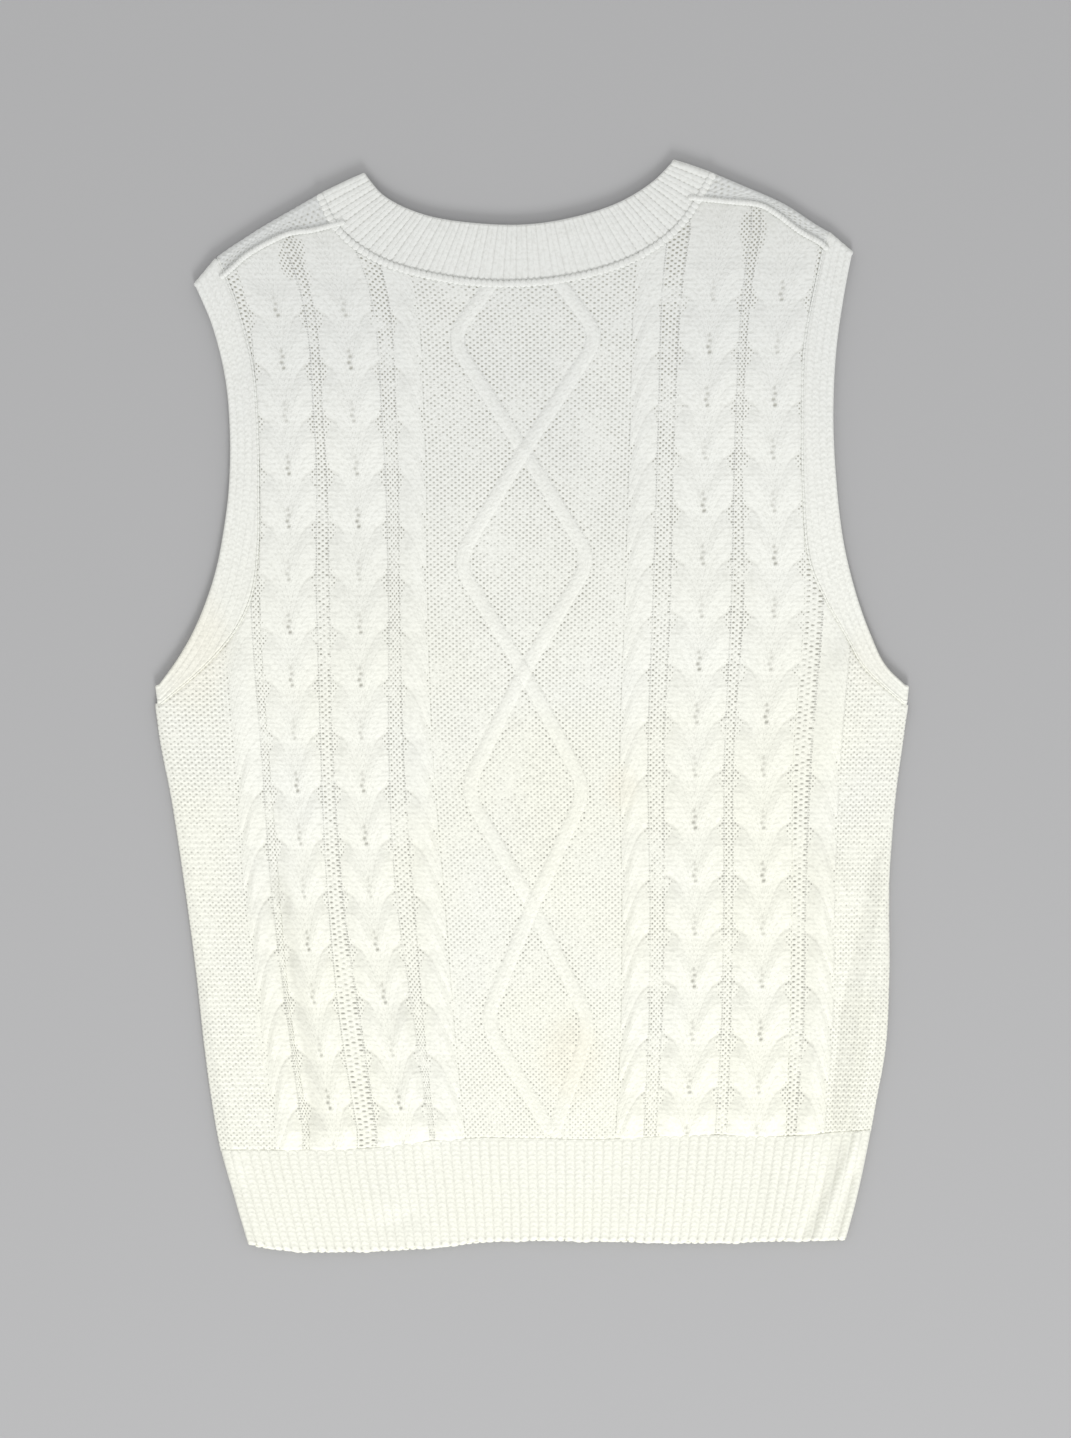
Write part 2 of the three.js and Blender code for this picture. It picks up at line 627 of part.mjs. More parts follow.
// Neckband: a ribbed strip on the back that turns over both shoulders and runs down into the V of the front.
function neckband() {
  const height = (u) => (neckRibHeight * (1 - Math.cos(2 * Math.PI * neckRibs * u))) / 2;
  const seam = offsetLine(neckSeam, half);
  const ribbed = [0, 0.12, 0.9, 1];
  const over = stripWall(seam, neckEdge, ribbed, (u, v) => (v > 0 && v < 1 ? height(u) : 0));
  const outline = [...veeLine("seam", -half), ...veeLine("edge", 0).reverse()];
  const under = prism(outline, 0, clothThickness);
  const round = [...lengthened(everyNth(seam, 4), overlap), ...lengthened(everyNth(neckEdge, 4), overlap).reverse()];
  const turn = prism(round, foldRadius, high).add(prism(outline, low, foldRadius)).intersect(shoulderTurns);
  return over.add(under).intersect(insideTurns).add(turn);
}

// Armhole band: a narrow strip on both layers, which turns over at the shoulder and round the side.
function armholeBand(side) {
  const seam = offsetLine(armholeSeam[side], outward[side] * half);
  const lines = side === "left" ? [armholeEdge[side], seam] : [seam, armholeEdge[side]];
  const outline = [...lengthened(lines[0], overlap), ...lengthened(lines[1], overlap).reverse()];
  const across = [];
  for (let i = 0; i <= 2 * bandCords; i += 1) across.push(i / (2 * bandCords));
  const height = (u, v) => bandCordHeight * (Math.round(v * 2 * bandCords) % 2);
  const over = stripWall(lines[0], lines[1], across, height);
  const region = prism(outline, low, high);
  const under = prism(outline, 0, clothThickness);
  const turn = shoulderTurns.add(foldTurn(bandTurnLines[side])).intersect(region);
  return over.add(under).intersect(insideTurns).add(turn);
}

// The whole vest

const cream = 0xf3f3e6;
const shade = 0xebebdf;
const group = new THREE.Group();
group.add(
  meshOf("back_panel", backPanel(), cream),
  meshOf("front_panel", frontPanel(), cream),
  meshOf("hem_rib_back", hemBack(), shade),
  meshOf("hem_rib_front", hemFront(), shade),
  meshOf("neckband", neckband(), shade),
  meshOf("armhole_band_left", armholeBand("left"), shade),
  meshOf("armhole_band_right", armholeBand("right"), shade),
);

// The origin goes under the middle of the outline.
const extent = new THREE.Box3().setFromObject(group);
const middle = extent.getCenter(new THREE.Vector3());
for (const mesh of group.children) mesh.geometry.translate(-middle.x, -middle.y, -extent.min.z);
export default group;
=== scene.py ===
import math

import bpy
import numpy as np
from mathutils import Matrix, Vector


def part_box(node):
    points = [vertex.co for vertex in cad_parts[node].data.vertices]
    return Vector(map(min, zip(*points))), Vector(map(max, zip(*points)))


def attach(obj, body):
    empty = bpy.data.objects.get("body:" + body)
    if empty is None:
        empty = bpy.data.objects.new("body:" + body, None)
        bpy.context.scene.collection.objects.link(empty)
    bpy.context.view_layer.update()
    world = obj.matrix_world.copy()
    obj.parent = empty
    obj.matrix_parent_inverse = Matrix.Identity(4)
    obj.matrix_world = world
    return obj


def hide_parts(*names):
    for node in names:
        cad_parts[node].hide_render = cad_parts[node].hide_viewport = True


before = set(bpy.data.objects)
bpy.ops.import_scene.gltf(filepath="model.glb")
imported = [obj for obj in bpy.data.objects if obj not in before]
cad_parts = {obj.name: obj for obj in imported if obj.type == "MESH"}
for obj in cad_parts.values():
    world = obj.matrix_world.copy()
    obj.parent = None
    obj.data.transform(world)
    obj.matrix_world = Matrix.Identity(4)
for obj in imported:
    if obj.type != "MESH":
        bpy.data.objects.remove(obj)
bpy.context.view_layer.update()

# The picture is taken from straight above the vest, which lies with its neck at the top.
# The picture's long side takes in 906 mm of the table.
picture_height = 0.906
picture_middle = (0.0022, -0.0084)
camera_height = 2.4
camera_data = bpy.data.cameras.new("camera")
camera_data.sensor_width = 36
camera_data.lens = camera_data.sensor_width * camera_height / picture_height
camera = bpy.data.objects.new("camera", camera_data)
camera.location = (*picture_middle, camera_height)
bpy.context.collection.objects.link(camera)
bpy.context.scene.camera = camera

# The table is a plain pale sheet under the vest.
# It only catches the soft shadow round the cloth.
table_reach = 4.0
table_below = 0.0004
table_data = bpy.data.meshes.new("table")
table_corners = [(-1, -1), (1, -1), (1, 1), (-1, 1)]
table_points = [(x * table_reach, y * table_reach, -table_below) for x, y in table_corners]
table_data.from_pydata(table_points, [], [(0, 1, 2, 3)])
table = bpy.data.objects.new("table", table_data)
bpy.context.collection.objects.link(table)
table_paint = bpy.data.materials.new("table_paint")
table_paint.use_nodes = True
table_shader = table_paint.node_tree.nodes["Principled BSDF"]
table_shader.inputs["Base Color"].default_value = (0.40, 0.40, 0.405, 1)
table_shader.inputs["Roughness"].default_value = 0.85
table_data.materials.append(table_paint)

# Studio light: an even white surround does most of it, as in a light tent.
# A soft panel low past the hem models the cables and lights the lower half a little more.
surround = bpy.data.worlds.new("surround")
surround.use_nodes = True
surround_light = surround.node_tree.nodes["Background"]
surround_light.inputs["Color"].default_value = (1.0, 1.0, 1.0, 1)
surround_light.inputs["Strength"].default_value = 0.85
bpy.context.scene.world = surround
bpy.context.scene.view_settings.view_transform = "Standard"
key_data = bpy.data.lights.new("key_panel", "AREA")
key_data.size = 1.0
key_data.energy = 52
key_panel = bpy.data.objects.new("key_panel", key_data)
key_panel.location = (0.4, -2.6, 1.7)
key_panel.rotation_euler = (-key_panel.location).to_track_quat("-Z", "Y").to_euler()
bpy.context.collection.objects.link(key_panel)

# The back: one piece of off-white wool in reverse stocking stitch, with four cables on each side of a panel
# of diamonds. It is knitted to shape from the hem up, and its edges are linked to the hem, bands and front.
# Sizes are in millimetres, and the neckband's box says where the top of the drawing lies.
mm = 0.001
drawn_top = 344.2
drawn_middle_y = drawn_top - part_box("neckband")[1][1] / mm
under_back = 2.75
back_face = 5.1
back_edge_height = 4.3
seam_allowance = 2.0
side_roll = 5
loft = 0.9
course = 3.32
wale = 4.17
whole_turn = 2 * np.pi
far_away = 99.0

body = {  # y, left side, right side
    "y": [-336, -311, -279, -248, -216, -169, -106, -59, -11, 4, 12],
    "left": [-178.6, -186.5, -195.9, -201.6, -206, -211.2, -219.6, -226.8, -235.6, -236.9, -235.6],
    "right": [197.5, 204, 211, 216.7, 222.4, 224.9, 225, 228.6, 235, 236.9, 236.6],
}
armhole_seams = {
    "left": [
        (-235, 0.5), (-205.5, 26), (-187.5, 47), (-176.5, 70), (-172.4, 100), (-172, 140),
        (-172.8, 178), (-176.2, 217), (-187, 256), (-197.8, 283.4),
    ],
    "right": [
        (235.5, 0.5), (209, 25), (197.5, 45), (184.6, 68), (174.6, 92), (170.6, 135),
        (169.9, 180), (171.3, 228), (179.3, 270), (185.6, 299.8),
    ],
}
shoulder_seams = {
    "left": [
        (-214, 256), (-191.5, 273), (-179.6, 283.5), (-166, 291.6), (-152, 297.6), (-139, 299.4),
        (-118, 304.5),
    ],
    "right": [
        (99, 320), (124.7, 317.5), (143.6, 315.3), (152.5, 310.6), (168.8, 298.6), (181.4, 291.4),
        (190.5, 282.5), (204, 268),
    ],
}
neck_seam = [
    (-134.2, 322.6), (-122.4, 300.4), (-98, 281.6), (-58, 269.6), (-14, 265.8), (30, 270.6),
    (66, 282.6), (93, 302.5), (114.4, 335.7),
]
hem = {  # x, seam to the back, lower edge
    "x": [-197, -150, -102, -64, -30, 40, 105, 160, 210],
    "seam": [-279.5, -279.8, -278.6, -273.8, -271.8, -273.2, -270, -271, -267],
    "edge": [-336, -342.6, -342.6, -340.6, -337, -336.4, -337.6, -336.2, -335.4],
}
tracks = {  # y, then the middle of each cable there
    "y": [-267, -197, -122, -33, 67, 175, 275, 300],
    "rope_left": [-152.5, -161.9, -171.5, -178.3, -185.2, -186, -203, -212],
    "outer_left": [-124.7, -135.8, -143, -148.7, -153.1, -154.4, -167.6, -178],
    "inner_left": [-80.6, -90.7, -101.4, -107.1, -108.4, -112.1, -124.7, -135],
    "panel_left": [-51.7, -58.6, -64.3, -71.2, -74.3, -76.2, -85.7, -94],
    "panel_right": [61.7, 64.9, 65.5, 64.2, 67.4, 70.6, 74.3, 77],
    "inner_right": [97, 100.8, 102.1, 102.3, 106.5, 109, 115.3, 119],
    "outer_right": [141.1, 143.6, 144.9, 145.5, 152.2, 151.6, 158.8, 163],
    "rope_right": [175.1, 180.2, 181.4, 185.2, 192.8, 194, 197.8, 201],
}
cables = {  # half width, its share near the hem, plait or rope, lean, start of crossings, lowest crossing
    "rope_left": dict(half=9.0, below=1.0, plait=False, lean=1, start=-20, low=-252.6),
    "outer_left": dict(half=18.2, below=0.84, plait=True, lean=0, start=270, low=-252.6),
    "inner_left": dict(half=18.8, below=0.9, plait=True, lean=0, start=272, low=-252.6),
    "panel_left": dict(half=8.8, below=1.1, plait=False, lean=-1, start=262, low=-252.6),
    "panel_right": dict(half=9.2, below=1.0, plait=False, lean=1, start=276, low=-242.6),
    "inner_right": dict(half=19.4, below=0.98, plait=True, lean=0, start=286, low=-242.6),
    "outer_right": dict(half=19.2, below=0.97, plait=True, lean=0, start=284, low=-242.6),
    "rope_right": dict(half=9.4, below=1.0, plait=False, lean=-1, start=-20, low=-242.6),
}
cable_pitch = 10 * course
cable_height = 2.65
lowest_row = -281.0
highest_row = 328.0
rows_per_course = 4
row_settling = 60
narrow_from, narrow_to = 67, -122
side_rope_top = 46
diamonds = [
    [
        (-14, 281), (-51, 232), (-5.2, 160.7), (37.2, 93), (-5.2, 22.1),
        (-42, -52), (0.3, -125.4), (37.2, -200), (14, -266),
    ],
    [
        (6, 281), (42.5, 233), (-5.2, 160.7), (-47.3, 91), (-5.2, 22.1),
        (34, -52), (0.3, -125.4), (-29.6, -198), (10, -264),
    ],
]
crease_fade = 30
flat_ends = (-352, 340)
folds = [  # from, to, width, height
    ((224, -112), (220, -176), 4.5, 2.2),
    ((218, -178), (203, -285), 6.5, 3.4),
    ((221, -92), (202, -174), 5.5, -1.7),
    ((201, -176), (188, -290), 8, -2.1),
    ((186, -100), (173, -285), 14, 2.6),
    ((-210, -165), (-184, -290), 5.5, 2.2),
    ((-160, -105), (-134, -272), 7, -1.3),
    ((-166, -120), (-146, -250), 8, 1.6),
    ((-84, -190), (-67, -272), 7, 3.2),
    ((-100, -326), (-74, -324), 8, -1.0),
    ((197, 36), (193, -24), 8, 2.4),
    ((-187, 36), (-183, -20), 9, 1.8),
    ((-10, 60), (0, -120), 40, 1.4),
    ((22, -205), (28, -262), 11, 1.6),
    ((186, -262), (166, -350), 17, 1.5),
    ((196, -276), (167, -345), 4.5, -2.6),
    ((204, -270), (173, -350), 4, 1.6),
    ((208, -284), (184, -350), 3.2, -2.0),
    ((213, -276), (193, -352), 4, 1.5),
    ((150, -285), (143, -350), 7, -0.5),
    ((-96, -300), (-84, -352), 10, 1.1),
    ((60, -305), (52, -352), 14, 0.8),
]
pulled_dots = [  # open stitches over each crossing of a plait: height above it, shift aside, size
    (0.8, 0.03, 1.6), (4.3, -0.03, 1.4), (8.0, 0.025, 1.1), (11.6, -0.02, 0.8),
]
pulled_places = [  # x, y, how far the stitches are pulled open
    (-151, 284, 2.3), (-143, 268, 0.8), (-188, 268, 0.6), (139, 300, 2.3), (137, 283, 0.9), (92, 300, 0.8),
]


def ramp(t):
    t = np.clip(t, 0, 1)
    return t * t * (3 - 2 * t)


def rounded(distance, radius):
    """Height of an edge that rolls over, as a share, at a distance from it."""
    return np.sqrt(1 - (1 - np.clip(distance / radius, 0, 1)) ** 2)


def smooth_table(xs, ys, at):
    """A smooth curve through a table's rows."""
    xs, ys = np.array(xs, float), np.array(ys, float)
    slopes = np.gradient(ys, xs)
    at = np.clip(at, xs[0], xs[-1])
    i = np.clip(np.searchsorted(xs, at) - 1, 0, len(xs) - 2)
    span = xs[i + 1] - xs[i]
    t = (at - xs[i]) / span
    curve = ys[i] * (1 + 2 * t) * (1 - t) ** 2 + ys[i + 1] * t**2 * (3 - 2 * t)
    return curve + span * t * (1 - t) * (slopes[i] * (1 - t) - slopes[i + 1] * t)


def line_through(points, steps, cut=0):
    """A smooth line through a few points as evenly spaced ones, with a length cut off each end."""
    points = np.array(points, float)
    chords = np.linalg.norm(np.diff(points, axis=0), axis=1)
    knots = np.concatenate([[0], np.cumsum(np.sqrt(chords))])
    fine = np.linspace(0, knots[-1], 40 * len(points))
    curve = np.stack([smooth_table(knots, points[:, k], fine) for k in (0, 1)], axis=1)
    length = np.concatenate([[0], np.cumsum(np.linalg.norm(np.diff(curve, axis=0), axis=1))])
    even = np.linspace(cut, length[-1] - cut, steps + 1)
    return np.stack([np.interp(even, length, curve[:, k]) for k in (0, 1)], axis=1)


def hem_seam(x):
    return np.interp(x, hem["x"], hem["seam"])


def side_distance(x, y):
    left = smooth_table(body["y"], body["left"], y)
    right = smooth_table(body["y"], body["right"], y)
    return np.minimum(x - left, right - x)


def fold_height(x, y):
    """How far the cloth stands off what is under it: its loft, with the creases laid by hand."""
    height = np.full(np.shape(x), loft)
    for start, end, width, peak in folds:
        dx, dy = end[0] - start[0], end[1] - start[1]
        length = math.hypot(dx, dy)
        along = ((x - start[0]) * dx + (y - start[1]) * dy) / length
        aside = ((x - start[0]) * dy - (y - start[1]) * dx) / length
        ends = ramp(0.5 + along / crease_fade) * ramp(0.5 + (length - along) / crease_fade)
        height = height + peak * ends * np.exp(-((aside / width) ** 2))
    to_end = ramp((y - flat_ends[0]) / 9) * ramp((flat_ends[1] - y) / 90)
    return np.maximum(height, 0) * ramp(side_distance(x, y) / 9) * to_end


seam_rows = [  # upright or level, line, 1 where the back lies to the right of an upright line
    ("upright", line_through(armhole_seams["left"], 90), 1),
    ("upright", line_through(armhole_seams["right"], 90), -1),
    ("level", line_through(neck_seam, 160), 1),
    ("level", line_through(shoulder_seams["left"], 60), 1),
    ("level", line_through(shoulder_seams["right"], 60), 1),
]


def seam_distance(x, y):
    """How far inside the seams round the back a point lies."""
    nearest = np.full(x.shape, far_away)
    for way, line, sign in seam_rows:
        run, rise = (1, 0) if way == "upright" else (0, 1)
        at, here = (y, x) if way == "upright" else (x, y)
        order = np.argsort(line[:, run])
        place, value = line[order, run], line[order, rise]
        lean = np.interp(at, place, np.gradient(value, place))
        gap = (here - np.interp(at, place, value)) * (sign if way == "upright" else -1)
        gap = gap / np.sqrt(1 + lean**2)
        within = (at > place[0]) & ((at < place[-1]) | (way == "upright"))
        nearest = np.where(within, np.minimum(nearest, gap), nearest)
    return nearest


def diamond_distance(turns, x, y):
    """Distance to one rib of the diamonds, which rounds its turns."""
    turn_length = 14
    corners = np.array(turns, float)
    points = [corners[0]]
    for before, corner, after in zip(corners, corners[1:], corners[2:]):
        start = corner + (before - corner) * turn_length / np.linalg.norm(before - corner)
        end = corner + (after - corner) * turn_length / np.linalg.norm(after - corner)
        for t in np.linspace(0, 1, 6):
            points.append((1 - t) ** 2 * start + 2 * t * (1 - t) * corner + t**2 * end)
    points.append(corners[-1])
    nearest = np.full(x.shape, far_away)
    for a, b in zip(points, points[1:]):
        dx, dy = b - a
        t = np.clip(((x - a[0]) * dx + (y - a[1]) * dy) / (dx * dx + dy * dy), 0, 1)
        nearest = np.minimum(nearest, np.hypot(x - a[0] - t * dx, y - a[1] - t * dy))
    return nearest


def leaf_form(out, above, foot, tip):
    """The full part of a strand, as a soft ridge from its foot to its tip. above is from 0 to a pitch."""
    run, climb = tip[0] - foot[0], tip[1] - foot[1]
    length = math.hypot(run, climb)
    fullest = np.zeros(np.shape(out))
    for strand in (-1, 0, 1):
        x, y = out - foot[0], above - strand * cable_pitch - foot[1]
        along = np.abs((x * run + y * climb) / length - length / 2) / (length / 2 + 4)
        aside = (x * climb - y * run) / length
        fullest = np.maximum(fullest, np.clip(1 - along**2.2, 0, 1) * np.exp(-((aside / 4.5) ** 2)))
    return fullest


def cable_form(cable, side, y):
    """A cable's height, its count of strands, the painted shade of its open stitches and creases, and its
    reach. side is -1 to 1 across it.
    """
    plait = cable["plait"]
    share = np.clip(np.abs(side) if plait else (1 + cable["lean"] * side) / 2, 0, 1)
    width = cable["half"] if plait else 2 * cable["half"]
    climb = 1.08 * (1 - (1 - share) ** 2.7) if plait else 1 - (1 - share) ** 2.0
    turn = (y - cable["low"]) / cable_pitch
    # strand runs from 0 at the crease under a strand to 1 at the crease over it
    phase = turn - climb
    strand = phase - np.floor(phase)
    crossing = ramp((cable["start"] - y) / 14)
    rise = 1 - (1 - np.clip(strand / 0.2, 0, 1)) ** 2
    fall = 1 - 0.55 * ramp((strand - 0.3) / 0.7)
    cell = 1 - ramp((share - 0.15) / 0.5) * (1 - np.minimum(rise, fall))
    foot = (0.10 * width, 1.5) if plait else (0.26 * width, 3)
    tip = (0.78 * width, 30) if plait else (0.70 * width, 29)
    leaf = leaf_form(share * width, (turn - np.floor(turn)) * cable_pitch, foot, tip)
    lobe = (0.34 + 0.2 * cell + 0.46 * leaf) * crossing
    if cable["start"] < 0:
        lobe = lobe + 0.75 * (1 - crossing) * ramp((side_rope_top - y) / 26)
    near_crease = np.exp(-((np.minimum(strand, 1 - strand) * cable_pitch / 0.9) ** 2)) * crossing
    crease = near_crease * ramp((share - 0.35) / 0.4)
    # the edge of the cable is drawn in beside a crease
    pinch = 0.34 * ramp((strand - 0.55) / 0.45) + 0.22 * (1 - ramp(strand / 0.22))
    reach = 1 - pinch * (share if plait else 1) * crossing
    inward = np.clip((reach - np.abs(side)) / (0.42 if plait else 0.75), 0, 1)
    edge = 0.45 * np.sqrt(1 - (1 - inward) ** 2) + 0.55 * ramp(inward)
    strand_wale = 3 * phase
    painted_shade_mark = np.zeros(np.shape(y))
    if plait:
        lowest = np.floor(turn + 0.12)
        above = (turn - lowest) * cable_pitch
        # the stitches pulled open over each crossing dip, and their holes get painted shade
        for place, aside, size in pulled_dots:
            near = np.exp(-(((above - place) / 1.0) ** 2) - ((side - aside) / 0.045) ** 2) * crossing
            uneven = 0.72 + 0.28 * np.sin(4.1 * lowest + 1.7 * place + cable["half"] * 9)
            painted_shade_mark = np.maximum(painted_shade_mark, np.minimum(size * uneven * near, 1))
    # the relief is fullest in the lower half and lowest under the shoulders
    rise_here = 0.78 + 0.54 * ramp((60 - y) / 230) - 0.35 * ramp((y - 235) / 30)
    height = cable_height * rise_here * edge * lobe - 0.8 * painted_shade_mark - 0.4 * crease * edge
    # painted shade in the creases, where the cloth folds in
    painted_shade_mark = np.maximum(painted_shade_mark, 0.28 * crease * rise_here)
    return height, strand_wale, painted_shade_mark, ramp(inward / 0.12)


middle_zone = 8
diamond_rib = 5.0
zones = [  # cable or plain knitting, wales, columns of points for each wale
    (None, 10, 4), ("rope_left", 6, 3), (None, 2, 5), ("outer_left", 12, 3),
    (None, 2, 5), ("inner_left", 12, 3), (None, 3, 5), ("panel_left", 6, 3),
    (None, 28, 4), ("panel_right", 6, 3), (None, 3, 5), ("inner_right", 12, 3),
    (None, 2, 5), ("outer_right", 12, 3), (None, 2, 5), ("rope_right", 6, 3),
    (None, 10, 4),
]


def zone_edges(y):
    edges = [smooth_table(body["y"], body["left"], y)]
    for name, cable in cables.items():
        middle = smooth_table(tracks["y"], tracks[name], y)
        narrowing = ramp((narrow_from - y) / (narrow_from - narrow_to))
        half = cable["half"] * (1 + (cable["below"] - 1) * narrowing)
        edges += [middle - half, middle + half]
    edges.append(smooth_table(body["y"], body["right"], y))
    return edges


def over_hem(x, y):
    """Rows of knitting moved up, so that the lowest one follows the seam to the hem."""
    return y + (hem_seam(x) - lowest_row) * (1 - ramp((y - lowest_row) / row_settling))


def back_strip(first, last):
    """Some zones of the back: its outer face as a grid of points, with what is knitted at each."""
    row_count = int((highest_row - lowest_row) / course * rows_per_course)
    y_rows = lowest_row + np.arange(row_count) * course / rows_per_course
    edges = [zone_edges(over_hem(edge, y_rows))[k] for k, edge in enumerate(zone_edges(y_rows))]
    count = sum(wales for _, wales, _ in zones[:first])
    blocks = []
    for index in range(first, last + 1):
        name, wales, per_wale = zones[index]
        steps = wales * per_wale
        t = np.arange(steps + (index == last))[None, :] / steps
        x = edges[index][:, None] * (1 - t) + edges[index + 1][:, None] * t
        y = np.broadcast_to(y_rows[:, None], x.shape)
        y = over_hem(x, y)
        t = np.broadcast_to(t, x.shape)
        blocks.append(knitted(index, x, y, t, count))
        count += wales
    return [np.concatenate([block[k] for block in blocks], axis=1) for k in range(8)]


def knitted(index, x, y, t, count):
    """The height and stitches of one zone of the back, with the painted shade of its holes, creases and
    hollows.
    """
    name, wales, _ = zones[index]
    stand = fold_height(x, y)
    z = back_face + stand
    # painted shade: the cloth is greyed where it sinks into a hollow
    hollow_shade = 0.16 * ramp((loft - stand) / loft) * ramp(side_distance(x, y) / 9)
    across = count + wales * t
    courses = y / course
    strand_wale = across
    smooth_knit = np.zeros(x.shape)
    # how strongly the purl dots are darkened: painted shade in the stitch holes
    dot_shade = 0.7 + 0.35 * ramp((y + 150) / 400)
    painted_shade_mark = np.zeros(x.shape)
    if name:
        relief, strand_wale, painted_shade_mark, smooth_knit = cable_form(cables[name], 2 * t - 1, y)
        z = z + relief * (0.25 + 0.75 * ramp((y - hem_seam(x)) / 15))
        dot_shade = dot_shade + 0.5 * (1 - smooth_knit)
    elif wales < 5:
        across = 0.22 + (wales - 0.44) * t
        outer = np.minimum(t, 1 - t) * wales < 0.8
        dot_shade = dot_shade + np.where(outer, 0.65, 0.3) + 0.5 * ramp((y - 225) / 50)
        z = z + 0.25 * np.cos(whole_turn * across) * np.cos(whole_turn * courses) - 0.2 * outer
    else:
        grid = np.cos(whole_turn * across) * np.cos(whole_turn * courses)
        z = z + 0.2 * grid
        if index != middle_zone:
            z = z + 0.16 * np.cos(whole_turn * courses)
    if index == middle_zone:
        for turns in diamonds:
            away = diamond_distance(turns, x, y)
            fade = 1 - 0.45 * ramp((-205 - y) / 20)
            z = z + fade * 0.7 * (1 - np.clip(away / 4.6, 0, 1) ** 2.4)
            z = z - 0.2 * np.exp(-(((away - diamond_rib) / 1.2) ** 2))
            dot_shade = dot_shade + 0.7 * fade * np.exp(-(((away - 5.6) / 1.5) ** 2))
            smooth_knit = np.maximum(smooth_knit, ramp((4.9 - away) / 0.8))
            strand_wale = np.where(away < diamond_rib, away / wale, strand_wale)
    painted_shade_mark = np.maximum(painted_shade_mark, hollow_shade)
    for pulled_x, pulled_y, size in pulled_places:
        near = np.exp(-(((x - pulled_x) / 7) ** 2) - ((y - pulled_y) / 12) ** 2)
        dot_shade = dot_shade + size * near
        smooth_knit = smooth_knit * (1 - ramp(2 * near * size - 0.6))
    return x, y, z, across, courses, strand_wale, smooth_knit, np.stack([dot_shade, painted_shade_mark], axis=-1)


def closed_piece(name, points, quads, floor, maps, marks):
    """A closed piece of cloth from its outer face: its walls and its flat underside are made here."""
    edges = np.concatenate([quads[:, [k, (k + 1) % 4]] for k in range(4)])
    keys = edges.min(axis=1) * len(points) + edges.max(axis=1)
    _, first, times = np.unique(keys, return_index=True, return_counts=True)
    follows = dict(edges[first[times == 1]].tolist())
    faces = quads.tolist()
    source = list(range(len(points)))
    while follows:
        rim = [next(iter(follows))]
        while follows[rim[-1]] != rim[0]:
            rim.append(follows.pop(rim[-1]))
        follows.pop(rim[-1])
        under = [len(source) + k for k in range(len(rim))]
        for k, corner in enumerate(rim):
            beside = (k + 1) % len(rim)
            faces.append([rim[beside], corner, under[k], under[beside]])
        faces.append(under[::-1])
        source += rim
    source = np.array(source)
    places = points[source]
    places[len(points):, 2] = floor
    return cloth_object(name, places, faces, maps, marks, source)


def cloth_object(name, points, faces, maps, marks, source):
    """A mesh in metres, with its stitch maps and marks. source says where each point's stitches are from."""
    data = bpy.data.meshes.new(name)
    placed = (points - np.array([0, drawn_middle_y, 0])) * mm
    data.from_pydata(placed.tolist(), [], faces)
    corner = np.empty(len(data.loops), dtype=np.int32)
    data.loops.foreach_get("vertex_index", corner)
    for map_name, values in maps.items():
        layer = data.uv_layers.new(name=map_name)
        layer.uv.foreach_set("vector", values[source][corner].astype(np.float32).ravel())
    for mark, values in marks.items():
        attribute = data.attributes.new(mark, "FLOAT", "POINT")
        attribute.data.foreach_set("value", values[source].astype(np.float32))
    data.shade_smooth()
    data.set_sharp_from_angle(angle=math.radians(75))
    piece = bpy.data.objects.new(name, data)
    bpy.context.collection.objects.link(piece)
    return piece


def grid_quads(rows, columns, kept):
    """Quads of a grid of points, of the cells that are kept."""
    corner = (np.arange(rows - 1)[:, None] * columns + np.arange(columns - 1)[None, :])[kept]
    return np.stack([corner, corner + 1, corner + columns + 1, corner + columns], axis=1)


def back_piece(name, first, last):
    x, y, z, across, courses, strand_wale, smooth_knit, shade_marks = back_strip(first, last)
    inside = seam_distance(x, y)
    kept = (inside[:-1, :-1] > -seam_allowance) & (inside[1:, 1:] > -seam_allowance)
    rim = ramp((inside + seam_allowance) / 4.5) * (0.65 + 0.35 * ramp((y - hem_seam(x)) / 3.0))
    z = back_edge_height + (z - back_edge_height) * rim
    z = under_back + (z - under_back) * np.maximum(rounded(side_distance(x, y), side_roll), 0.12)
    used, quads = np.unique(grid_quads(*x.shape, kept), return_inverse=True)
    points = np.stack([x, y, z], axis=-1).reshape(-1, 3)[used]
    maps = {
        "stitches": np.stack([across, courses], axis=-1).reshape(-1, 2)[used],
        "strands": np.stack([strand_wale, courses], axis=-1).reshape(-1, 2)[used],
    }
    marks = {
        "smooth_knit": smooth_knit.reshape(-1)[used],
        "dot_shade": shade_marks[..., 0].reshape(-1)[used],
        "painted_shade_mark": shade_marks[..., 1].reshape(-1)[used],
    }
    return closed_piece(name, points, quads.reshape(-1, 4), under_back, maps, marks)


